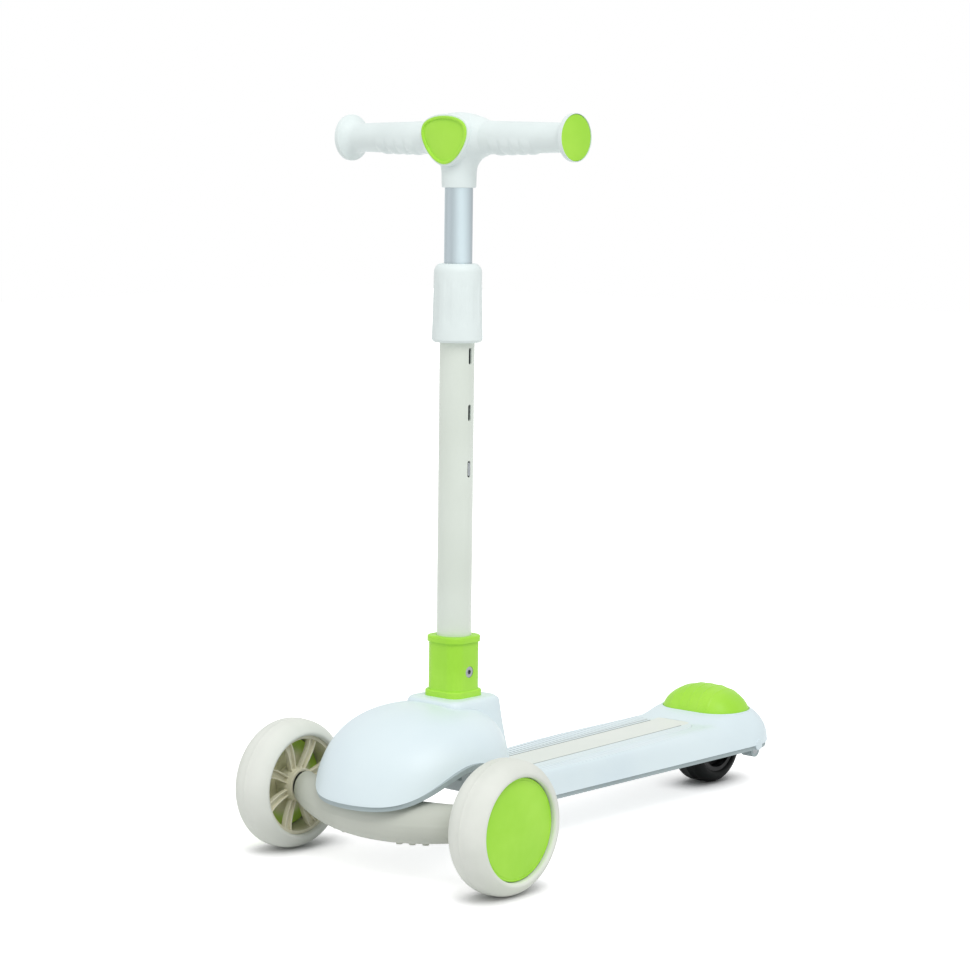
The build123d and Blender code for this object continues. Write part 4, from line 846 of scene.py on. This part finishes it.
carve(brakeDome, [lathe(roomEnds, rearCentre, sideways, turnSteps["wheelRoom"], True)])
makePiece("brake_arms", together(armParts), "brake", "green_moulding", ("brake_pedal",))
print("brake made")


# front wheels: tyre, cap, and a hub whose spokes are channels
tyreShape = {"outer": 59.75, "treadHalf": 4.0, "half": 20.0, "widest": 50.0, "seatHalf": 16.5, "seat": 46.0,
             "ridge": 0.25, "ridgeHalf": 0.7}
capShape = {"radius": 45.3, "inner": 12.0, "face": 15.5, "crown": 1.6, "edge": 1.0, "rimStep": 0.35,
            "rimWidth": 2.6, "backOuter": 41.0, "backInner": 14.0, "backX": 5.0, "stepStart": 0.3,
            "stepEnd": 0.8, "stepRound": 0.2, "crownSteps": 24}
hubShape = {"rimInner": -15.0, "rimOuter": 12.0, "seat": 45.95, "rimWall": 3.2, "rimRound": 0.8,
            "bossInner": -16.0, "bossOuter": 4.0, "bossRadius": 15.5, "bossRound": 0.6, "bore": 11.0,
            "mouth": 13.2, "mouthDepth": 5.0, "spokes": 8, "firstSpoke": 22.5, "spokeTop": -13.5,
            "spokeDepth": 3.8, "dish": 3.0, "bow": 3.0, "ridgeOffset": 3.9, "ridgeWidth": 1.35,
            "floorWidth": 6.6, "floorDrop": 2.8, "rootShare": 0.66, "rootSink": 1.5, "tipSink": 1.0,
            "barRound": 0.35, "barSteps": 14, "barAround": 20}


def tyreProfile(outer, treadHalf, half, widest, seatHalf, seat, ridge, ridgeHalf, lip=1.5):
    # tread, shoulder arc and bead arc of one side, and their mirror image, closed; a fine moulding line runs
    # round the tread
    shoulder = tangentArc((treadHalf, outer), (1.0, 0.0), (half, widest), 18)
    radial = shoulder[-1] - shoulder[-2]
    bead = tangentArc(shoulder[-1], radial / np.linalg.norm(radial), (seatHalf, seat), 10)
    line = [(0.0, outer + ridge), (ridgeHalf * 0.5, outer + ridge * 0.8), (ridgeHalf, outer)]
    one = np.concatenate([line, shoulder, bead[1:], [(seatHalf - lip, seat)]])
    return np.concatenate([one[::-1], (one * [-1.0, 1.0])[1:], one[-1:]])


def spokeParts(centre, outSide):
    # each spoke is a channel: two ridges and a floor on a slightly bowed line from boss to rim, deeper and
    # closer together at the boss; all bars are one block of arrays
    shape = hubShape
    s = np.linspace(0, 1, shape["barSteps"])
    first = np.repeat(shape["firstSpoke"] + np.arange(shape["spokes"]) * 360.0 / shape["spokes"], 3)
    spread = mix(shape["rootShare"], 1, s)
    offset = np.tile([-shape["ridgeOffset"], 0.0, shape["ridgeOffset"]], shape["spokes"])[:, None] * spread
    width = np.tile([0.0, shape["floorWidth"], 0.0], shape["spokes"])[:, None] * spread
    width = np.maximum(width, shape["ridgeWidth"])
    drop = np.tile([0.0, shape["floorDrop"], 0.0], shape["spokes"])
    turn = np.radians(first[:, None] - 4 * shape["bow"] * s * (1 - s))
    rootR = shape["bossRadius"] - shape["rootSink"]
    tipR = shape["seat"] - shape["rimWall"] + shape["tipSink"]
    reach = mix(rootR, tipR, s)
    line = reach[:, None] * unitRing(turn)
    heading = np.gradient(line, axis=1)
    heading = heading / np.linalg.norm(heading, axis=-1, keepdims=True)
    across = np.stack([-heading[..., 1], heading[..., 0]], -1)
    line = line + across * offset[..., None]
    bar = slabLoop(0.5, shape["spokeDepth"] / 2, shape["barRound"], shape["barAround"])
    plan = line[:, :, None] + across[:, :, None] * bar[None, None, :, :1] * width[..., None, None]
    depth = shape["spokeTop"] + shape["dish"] * (1 - s)[None, :, None] + drop[:, None, None]
    depth = np.broadcast_to(depth + shape["spokeDepth"] / 2 + bar[:, 1], plan.shape[:3])
    points = np.stack([outSide * depth, plan[..., 0], plan[..., 1]], -1) + centre
    return [skin(one) for one in points]


def capFace():
    # a low crown, then a shallow step and a round edge, as (distance along, radius)
    cap = capShape
    stepR = cap["radius"] - cap["rimWidth"]
    dish = np.linspace(0, 1, cap["crownSteps"])[1:]
    face = np.stack([cap["face"] + cap["crown"] * (1 - dish ** 2), stepR * dish], -1)
    return np.concatenate([face[:-1], eased([
        face[-1], (cap["face"] - cap["rimStep"], stepR + cap["stepStart"]),
        (cap["face"], stepR + cap["stepEnd"]), (cap["face"], cap["radius"]), (cap["inner"], cap["radius"])],
        (cap["stepRound"], cap["stepRound"], cap["edge"]))])


hub = hubShape
rimProfile = eased(boxProfile(hub["rimInner"], hub["rimOuter"], hub["seat"] - hub["rimWall"], hub["seat"]),
                   hub["rimRound"])
mouthEnd = hub["bossInner"] + hub["mouthDepth"]
bossProfile = eased([(hub["bossInner"], hub["mouth"]), (hub["bossInner"], hub["bossRadius"]),
                     (hub["bossOuter"], hub["bossRadius"]), (hub["bossOuter"], hub["bore"]),
                     (mouthEnd, hub["bore"]), (mouthEnd, hub["mouth"]),
                     (hub["bossInner"], hub["mouth"])], hub["bossRound"])
backProfile = boxProfile(capShape["backX"], capShape["inner"], capShape["backInner"], capShape["backOuter"])
for side, outSide in bothSides:
    wheel = f"{side}_front_wheel"
    centre = np.array([outSide * layout["wheelX"], layout["frontAxleY"], layout["wheelZ"]])
    outward = sideways * outSide
    makePiece(f"{side}_tyre_skin", lathe(tyreProfile(**tyreShape), centre, outward, turnSteps["frontTyre"]),
              wheel, "cream_tyre", (f"{side}_front_tyre",))
    makePiece(f"{side}_cap_disc", lathe(capFace(), centre, outward, turnSteps["cap"], True), wheel,
              "green_moulding", (f"{side}_hub_cap",))
    makePiece(f"{side}_cap_back", lathe(backProfile, centre, outward, turnSteps["capBack"]), wheel,
              "green_moulding", (f"{side}_hub_cap",), "capBack")
    hubParts = [lathe(rimProfile, centre, outward, turnSteps["rim"]),
                lathe(bossProfile, centre, outward, turnSteps["boss"]), *spokeParts(centre, outSide)]
    makePiece(f"{side}_spoked_hub", together(hubParts), wheel, "tan_hub", (f"{side}_front_hub",))
print("front wheels made")

# rear wheel
rearTyre = {"outer": 39.8, "treadHalf": 8.0, "half": 17.0, "widest": 32.0, "seatHalf": 15.0, "seat": 28.0,
            "ridge": 0.2, "ridgeHalf": 0.6}
makePiece("rear_tyre_skin", lathe(tyreProfile(**rearTyre), rearCentre, sideways, turnSteps["rearTyre"]),
          "rear_wheel", "black_tyre", ("rear_tyre",))
dressed("rear_hub", "rear_wheel", "black_plastic")
print("rear wheel made")

# front beam
beamShape = {"end": 109.2, "span": 113.5, "bow": 31.5, "dip": 5.0, "endRadius": 14.75, "middleRadius": 20.0,
             "seam": 0.35, "seamWidth": 0.05, "endRound": 3.4, "rows": 120, "around": 72}


def beamLoops():
    # upright circles whose middle bows forward and down as 1 - (x/span)^2; a fine moulding seam runs along
    # both sides, and the ends are rolled
    shape = beamShape
    x = shape["end"] * np.sin(np.linspace(-math.pi / 2, math.pi / 2, shape["rows"]))
    bow = 1 - (x / shape["span"]) ** 2
    fromEnd = shape["end"] - np.abs(x)
    roll = np.clip(1 - fromEnd / shape["endRound"], 0, 1)
    radius = mix(shape["endRadius"], shape["middleRadius"], bow) - rollIn(shape["endRound"], roll)
    turn = rounds(shape["around"])
    seam = np.exp(-(np.sin(turn) / shape["seamWidth"]) ** 2) * shape["seam"]
    wide = radius[:, None] + seam
    y = layout["frontAxleY"] - shape["bow"] * bow[:, None] + wide * np.cos(turn)
    z = layout["wheelZ"] - shape["dip"] * bow[:, None] + wide * np.sin(turn)
    return np.stack([np.broadcast_to(x[:, None], y.shape), y, z], -1)


makePiece("bowed_beam", skin(beamLoops()), "steering", "beige_beam", ("axle_beam",))
print("front beam made")

# chassis and stem
dressed("base_frame", "deck", "grey_moulding")
dressed("stem_socket", "deck", "green_moulding")
dressed("outer_tube", "deck", "cream_tube")
dressed("inner_tube", "handlebar", "bare_tube")

collarShape = {"bottom": 321.5, "height": 70.5, "footRadius": 23.0, "topRadius": 21.6, "shoulder": 8.0,
               "shoulderIn": 6.4, "lidBore": 13.0, "bore": 16.2, "lidDepth": 5.7, "footRound": 2.0,
               "flutes": 10, "fluteDepth": 0.6, "fluteBottom": 11.0, "fluteLength": 48.0, "fluteEase": 11.0,
               "fluteGain": 0.9, "fluteBias": 0.35, "wallLeast": 1.0, "footCut": 1.0, "sideSteps": 60,
               "shoulderSteps": 14, "around": 200}


def collarLoops():
    # a tapered sleeve with a round shoulder; shallow flutes fade out at both ends
    shape = collarShape
    top = shape["height"]
    foot = (0, shape["footRadius"] - shape["footRound"])
    outside = eased([foot, (shape["footRound"], shape["footRadius"]),
                     (top - shape["shoulder"], shape["topRadius"])], shape["footCut"])
    side = np.linspace(outside[-2], outside[-1], shape["sideSteps"])[1:]
    roll = np.linspace(0, math.pi / 2, shape["shoulderSteps"])[1:]
    shoulder = np.stack([top - shape["shoulder"] + shape["shoulder"] * np.sin(roll),
                         shape["topRadius"] - shape["shoulderIn"] + shape["shoulderIn"] * np.cos(roll)], -1)
    inside = [(top, shape["lidBore"]), (top - shape["lidDepth"], shape["lidBore"]),
              (top - shape["lidDepth"], shape["bore"]), (0, shape["bore"]), foot]
    profile = np.concatenate([outside[:-1], side, shoulder, inside])
    turn = rounds(shape["around"])
    along = profile[:, 0]
    fade = smoothStep((along - shape["fluteBottom"]) / shape["fluteEase"])
    fade = fade * smoothStep((shape["fluteBottom"] + shape["fluteLength"] - along) / shape["fluteEase"])
    fade = fade * (profile[:, 1] > shape["bore"] + shape["wallLeast"])
    flute = smoothStep(np.cos(turn * shape["flutes"]) * shape["fluteGain"] + shape["fluteBias"])
    radius = profile[:, 1:] - shape["fluteDepth"] * fade[:, None] * flute
    return swept(along, radius, stemFoot + stemUp * shape["bottom"], stemUp, sideways, turn)


makePiece("fluted_collar", skin(collarLoops(), ends=False), "collar", "white_grip", ("twist_collar",))

# spring button in the lowest slot
buttonShape = {"height": 207.6, "halfLength": 6.3, "halfWidth": 1.5, "root": 8.0, "tip": 16.6, "round": 1.1,
               "flangeHalfLength": 9.0, "flangeHalfWidth": 3.0, "flangeFoot": 6.8, "flangeTop": 8.8,
               "endFlat": 0.01, "rollSteps": 8, "around": 48}


def buttonLoops(halfWidth, halfLength, rows):
    # long round outlines drawn in by an inset, each at its own distance from the stem's axis
    shape = buttonShape
    middle = stemFoot + stemUp * shape["height"]
    loops = [slabLoop(halfWidth - inset, halfLength - inset, halfWidth - inset - shape["endFlat"],
                      shape["around"]) for inset, out in rows]
    return np.stack([middle + loop[:, :1] * stemBack + loop[:, 1:] * stemUp + out * sideways
                     for loop, (inset, out) in zip(loops, rows)])


headRoll = np.linspace(0, math.pi / 2, buttonShape["rollSteps"])
headInset = buttonShape["round"] * (1 - np.cos(headRoll))
headOut = buttonShape["tip"] - buttonShape["round"] * (1 - np.sin(headRoll))
headRows = [(0.0, buttonShape["root"]), *zip(headInset, headOut)]
flangeRows = [(0.0, buttonShape["flangeFoot"]), (0.0, buttonShape["flangeTop"])]
makePiece("button_head", together([
    skin(buttonLoops(buttonShape["halfWidth"], buttonShape["halfLength"], headRows)),
    skin(buttonLoops(buttonShape["flangeHalfWidth"], buttonShape["flangeHalfLength"], flangeRows))]),
    "button", "steel", ("height_button",))
print("stem made")

# handlebar
bodyShape = {"halfWidth": 36.0, "endRadius": 14.9, "domeHalf": 34.0, "crownRadius": 22.5, "neckBottom": -44.5,
             "neckRadius": 15.4, "waistDrop": -37.0, "waistRadius": 15.7, "blendSide": 29.0,
             "blendFront": 17.5, "around": 128, "bore": 12.75, "frontReach": 19.4, "pull": 1.15,
             "neckRound": 0.8, "riseOut": 0.02, "blendSteps": 24, "acrossSteps": 90}


def bodyRadius(x):
    # the T's crosspiece: a parabola from the crown down to the grip's radius, then level
    shape = bodyShape
    share = np.clip(np.abs(x) / shape["domeHalf"], 0, 1)
    return mix(shape["crownRadius"], shape["endRadius"], share ** 2)


def crosspiece():
    # the crosspiece turned about the bar; its front is drawn back to stay under the badge
    x = np.linspace(-bodyShape["halfWidth"], bodyShape["halfWidth"], bodyShape["acrossSteps"])
    loops = swept(x, bodyRadius(x)[:, None], barCentre, sideways, upright, rounds(bodyShape["around"]))
    loops[..., 1] = np.maximum(loops[..., 1], barCentre[1] - bodyShape["frontReach"])
    return skin(loops)


def neckBlend():
    # a tube that rises straight, then curves out and meets the crosspiece along its own slope, by a Hermite
    # curve for each angle round the tube
    shape = bodyShape
    turn = rounds(shape["around"])
    plan = unitRing(turn)
    reach = 1 / np.sqrt((plan[:, 0] / shape["blendSide"]) ** 2 + (plan[:, 1] / shape["blendFront"]) ** 2)

    def under(r):
        x, y = r * plan[:, 0], r * plan[:, 1]
        return -np.sqrt(np.clip(bodyRadius(x) ** 2 - y ** 2, 0.01, None))

    step = 0.05
    slope = (under(reach + step) - under(reach - step)) / (2 * step)
    endHeight = under(reach)
    endRun = np.stack([np.ones_like(slope), slope], -1)
    endRun = endRun / np.linalg.norm(endRun, axis=1, keepdims=True)
    size = np.hypot(reach - shape["waistRadius"], endHeight - shape["waistDrop"])[:, None]
    t = np.linspace(0, 1, shape["blendSteps"])[:, None, None]
    a = np.stack([np.full_like(reach, shape["waistRadius"]), np.full_like(reach, shape["waistDrop"])], -1)
    b = np.stack([reach, endHeight], -1)
    rise = np.array([shape["riseOut"], 1.0]) * size * shape["pull"]
    curve = ((2 * t ** 3 - 3 * t ** 2 + 1) * a + (t ** 3 - 2 * t ** 2 + t) * rise
             + (3 * t ** 2 - 2 * t ** 3) * b + (t ** 3 - t ** 2) * endRun * size * shape["pull"])
    tube = eased([(shape["bore"], shape["neckBottom"]), (shape["neckRadius"], shape["neckBottom"]),
                  (shape["waistRadius"], shape["waistDrop"])], shape["neckRound"])
    tube = np.broadcast_to(tube[:, None], (len(tube), len(turn), 2))
    rows = np.concatenate([tube, curve[1:]])
    local = np.concatenate([rows[..., :1] * plan[None], rows[..., 1:]], -1)
    return skin(barCentre + local @ np.stack([sideways, stemBack, stemUp]))


gripShape = {"start": 36.0, "end": 134.5, "innerRadius": 14.8, "outerRadius": 13.0, "flangeRadius": 21.1,
             "flangeWidth": 4.6, "neck": 11.0, "lip": 20.4, "capSeat": 131.5, "round": 1.4, "bumps": 4,
             "bumpFirst": 50.0, "bumpStep": 12.0, "bumpHeight": 1.3, "bumpHalf": 0.46, "bumpPower": 0.8,
             "underStart": 0.05, "underOver": 0.6, "flareDrop": 1.0, "flarePower": 2.6, "flangeLead": 0.5,
             "flangeCut": 0.6, "lipCut": 0.3, "endSteps": 10, "sleeveSteps": 90, "flareSteps": 26,
             "around": 128}


def gripLoops(side):
    # a tapered sleeve with a flared end; four finger swells on the underside
    shape = gripShape
    flareStart = shape["end"] - shape["flangeWidth"] - shape["neck"]
    sleeve = np.linspace(shape["start"], flareStart, shape["sleeveSteps"])
    taper = mix(shape["innerRadius"], shape["outerRadius"],
                (sleeve - shape["start"]) / (flareStart - shape["start"]))
    t = np.linspace(0, 1, shape["flareSteps"])[1:]
    flareX = flareStart + shape["neck"] * t
    flareR = mix(shape["outerRadius"], shape["flangeRadius"] - shape["flareDrop"], t ** shape["flarePower"])
    end = eased([(flareX[-1], flareR[-1]), (flareX[-1] + shape["flangeLead"], shape["flangeRadius"]),
                 (shape["end"], shape["flangeRadius"]), (shape["end"], shape["lip"]),
                 (shape["capSeat"], shape["lip"])],
                (shape["round"], shape["flangeCut"], shape["lipCut"]), shape["endSteps"])
    profile = np.concatenate([np.stack([sleeve, taper], -1), np.stack([flareX, flareR], -1), end[1:]])
    x = profile[:, 0]
    turn = rounds(shape["around"])
    centres = shape["bumpFirst"] + shape["bumpStep"] * np.arange(shape["bumps"])
    off = np.abs(x[:, None] - centres) / (shape["bumpStep"] * shape["bumpHalf"])
    swell = np.clip(1 - off ** 2, 0, 1).max(1) ** shape["bumpPower"]
    under = smoothStep((-np.cos(turn) + shape["underStart"]) / shape["underOver"])
    radius = profile[:, 1:] + shape["bumpHeight"] * swell[:, None] * under
    return swept(side * x, radius, barCentre, sideways, upright, turn)


endCap = {"radius": 20.2, "seat": 131.5, "face": 134.5, "round": 0.9, "dome": 0.5, "rim": 1.2,
          "domeSteps": 20}
capEdge, capFlat = endCap["face"] - endCap["dome"], endCap["radius"] - endCap["rim"]
capShare = np.linspace(0, 1, endCap["domeSteps"])[1:]
capProfile = np.concatenate([
    np.stack([endCap["face"] - endCap["dome"] * capShare ** 2, capFlat * capShare], -1),
    eased([(capEdge, capFlat), (capEdge, endCap["radius"]), (endCap["seat"], endCap["radius"])],
          endCap["round"])[1:]])
for side, outSide in bothSides:
    makePiece(f"{side}_grip_sleeve", skin(gripLoops(outSide)), "handlebar", "white_grip", (f"{side}_grip",))
    gripCap = lathe(capProfile, barCentre, sideways * outSide, turnSteps["gripCap"], True)
    makePiece(f"{side}_grip_cap", gripCap, "handlebar", "green_moulding", (f"{side}_end_cap",))

badgeShape = {"topSpacing": 17.1, "topRise": 6.1, "topRadius": 8.9, "footDrop": 11.7, "footRadius": 11.4,
              "soft": 0.175, "back": 18.5, "reach": 22.5, "rim": 2.4, "rimDepth": 1.4, "dome": 1.0,
              "domeRise": 2.2, "edge": 0.9, "edgeShare": 0.27, "rimTop": ((-0.5, 0.0), (-0.15, -0.2)),
              "rimFoot": ((0.0, 0.3), (0.35, 0.0)), "middleShare": 0.02, "domeSteps": 16, "bezel": 1.9,
              "bezelRound": 1.6, "seat": 20.6, "seatBack": 2.0, "seatIn": 1.0, "fine": 2000, "around": 180}


def hullLoop(margin, count):
    # a rounded triangle from its support function: at each angle a soft maximum, log(sum(exp(k f))) / k, of
    # the reaches f of three corner circles, so that the sides bulge; the margin draws it in
    shape = badgeShape
    centres = np.array([[shape["topSpacing"], shape["topRise"]], [-shape["topSpacing"], shape["topRise"]],
                        [0.0, -shape["footDrop"]]])
    radii = np.array([shape["topRadius"], shape["topRadius"], shape["footRadius"]]) - margin
    turn = rounds(shape["fine"])
    aim = unitRing(turn)
    beside = np.stack([-np.sin(turn), np.cos(turn)], -1)
    share = np.exp(shape["soft"] * (aim @ centres.T + radii))
    support = np.log(share.sum(1)) / shape["soft"]
    slope = (share * (beside @ centres.T)).sum(1) / share.sum(1)
    return evenSteps(support[:, None] * aim + slope[:, None] * beside, count)


def badgeRows(rows):
    # outlines drawn in by a margin, each at its own reach
    return np.stack([lifted(hullLoop(margin, badgeShape["around"]), reach) for margin, reach in rows])


def facingFront(local):
    # (across, up, reach) as a place in front of the bar
    return barCentre + np.stack([local[..., 0], -local[..., 2], local[..., 1]], -1)


def pedestal():
    # the badge's seat on the crosspiece: the same outline a little larger, with a rolled front edge
    shape = badgeShape
    return skin(facingFront(badgeRows(eased([
        (-shape["bezel"], shape["seatBack"]), (-shape["bezel"], shape["seat"]),
        (shape["seatIn"], shape["seat"])], shape["bezelRound"]))))


def badgeLoops():
    # outlines drawn in step by step, each at its own reach: wall, round rim, step down, then a low dome
    shape = badgeShape
    edge, rim, front = shape["edge"], shape["rim"], shape["reach"]
    low = front - shape["rimDepth"]
    bevel = shape["edgeShare"] * edge
    outer = badgeRows([(0.0, shape["back"]), (0.0, front - edge), (bevel, front - bevel), (edge, front),
                       *((rim + margin, front + rise) for margin, rise in shape["rimTop"]),
                       *((rim + margin, low + rise) for margin, rise in shape["rimFoot"])])
    middle = np.array([0.0, shape["domeRise"], 0.0])
    share = np.linspace(1, shape["middleShare"], shape["domeSteps"])[1:, None, None]
    inner = middle + (outer[-1:] - middle) * [1.0, 1.0, 0.0] * share
    inner[..., 2:] = low + shape["dome"] * (1 - share ** 2)
    return facingFront(np.concatenate([outer, inner]))


makePiece("t_piece", together([crosspiece(), neckBlend(), pedestal()]), "handlebar", "white_grip",
          ("t_body",))
makePiece("badge_plate", skin(badgeLoops()), "handlebar", "green_moulding", ("badge_cover",), sharp=45.0)
print("handlebar made")

# solids that keep their own shape get a finish by their material slot
kept = 0
for name, solid in nodes.items():
    if not solid.hide_render:
        old = solid.material_slots[0].material.name if solid.material_slots else "steel"
        chosen = next((finish for slot, finish in slotFinish.items() if old.startswith(slot)), "platedSteel")
        chosen = "beigeBeam" if name == "beam_screws" else chosen
        solid.data.materials.clear()
        solid.data.materials.append(finishes[chosen])
        kept += 1
print("solids kept with a finish:", kept)


# floor, world and lamps
studio = {"floorSize": 14.0, "floorLines": 9, "dark": (230, 230, 230), "light": (232, 232, 232),
          "grainScale": 40.0, "floorGlow": 0.68, "fadeStart": 0.45, "fadeEnd": 1.1, "contactReach": 0.032,
          "contactDark": 0.35, "sky": 0.67, "aim": (0.0, 0.0, 0.3), "keyPlace": (2.2, -1.5, 3.7),
          "keySize": 2.4, "keyPower": 80.0, "fillPlace": (-2.6, -2.6, 1.4), "fillSize": 3.0,
          "fillPower": 12.0}


def raysThatSee(signal):
    # 1 for what the camera sees straight, in a gloss or through glass
    path = signal.node("ShaderNodeLightPath", {}, {})
    outputs = path.socket.node.outputs
    straight, gloss, through = (Signal(path.tree, outputs[n]) for n in
                                ("Is Camera Ray", "Is Glossy Ray", "Is Transmission Ray"))
    return path.math("MAXIMUM", path.math("MAXIMUM", straight, gloss), through)


def floorFinish():
    # pale and matt; it glows white to the camera, less near the object, and hardly where the object touches
    # it, which paints a contact shadow into the glow
    material, shader, where = startFinish("paleFloor")
    soft = tones(where, where.noise(where, studio["grainScale"], 3.0), studio)
    away = where.node("ShaderNodeVectorMath", {"operation": "LENGTH"}, {0: where}, out=1)
    fade = away.between(studio["fadeStart"], studio["fadeEnd"])
    reach = studio["contactReach"]
    # ambient occlusion takes the glow away near the contacts: painted contact shadow
    clear = where.node("ShaderNodeAmbientOcclusion", {"samples": 6}, {"Distance": reach}, out=1)
    clear = clear.between(studio["contactDark"], 1.0)
    glow = raysThatSee(where) * mix(studio["floorGlow"], 1, fade) * clear
    feed(shader, Base_Color=soft, Roughness=1.0, Specular_IOR_Level=0.0,
         Emission_Color=where.blend(glow, (0, 0, 0, 1), (1, 1, 1, 1)), Emission_Strength=1.0)
    return material


half = studio["floorSize"] / 2 / mm
floorLine = np.linspace(-half, half, studio["floorLines"])
floorGrid = np.stack(np.broadcast_arrays(floorLine[:, None], floorLine[None], 0.0), -1)
floor = bpy.data.objects.new("floor", makeMesh("floor", skin(floorGrid, wrap=False, ends=False)))
floor.data.materials.append(floorFinish())
bpy.context.scene.collection.objects.link(floor)

world = bpy.data.worlds.new("studio")
world.use_nodes = True
sky = Signal(world.node_tree)
backdrop = world.node_tree.nodes["Background"]
backdrop.inputs["Color"].default_value = (1.0, 1.0, 1.0, 1.0)
strength = mix(studio["sky"], 1, raysThatSee(sky))
world.node_tree.links.new(strength.socket, backdrop.inputs["Strength"])
bpy.context.scene.world = world

for lamp in ("key", "fill"):
    data = bpy.data.lights.new(lamp, "AREA")
    data.size = studio[lamp + "Size"]
    data.energy = studio[lamp + "Power"]
    light = bpy.data.objects.new(lamp, data)
    light.location = studio[lamp + "Place"]
    aim = np.array(studio["aim"]) - studio[lamp + "Place"]
    tilt = math.acos(-aim[2] / np.linalg.norm(aim))
    light.rotation_euler = (tilt, 0.0, math.atan2(aim[1], aim[0]) - math.pi / 2)
    bpy.context.scene.collection.objects.link(light)
print("studio lit")
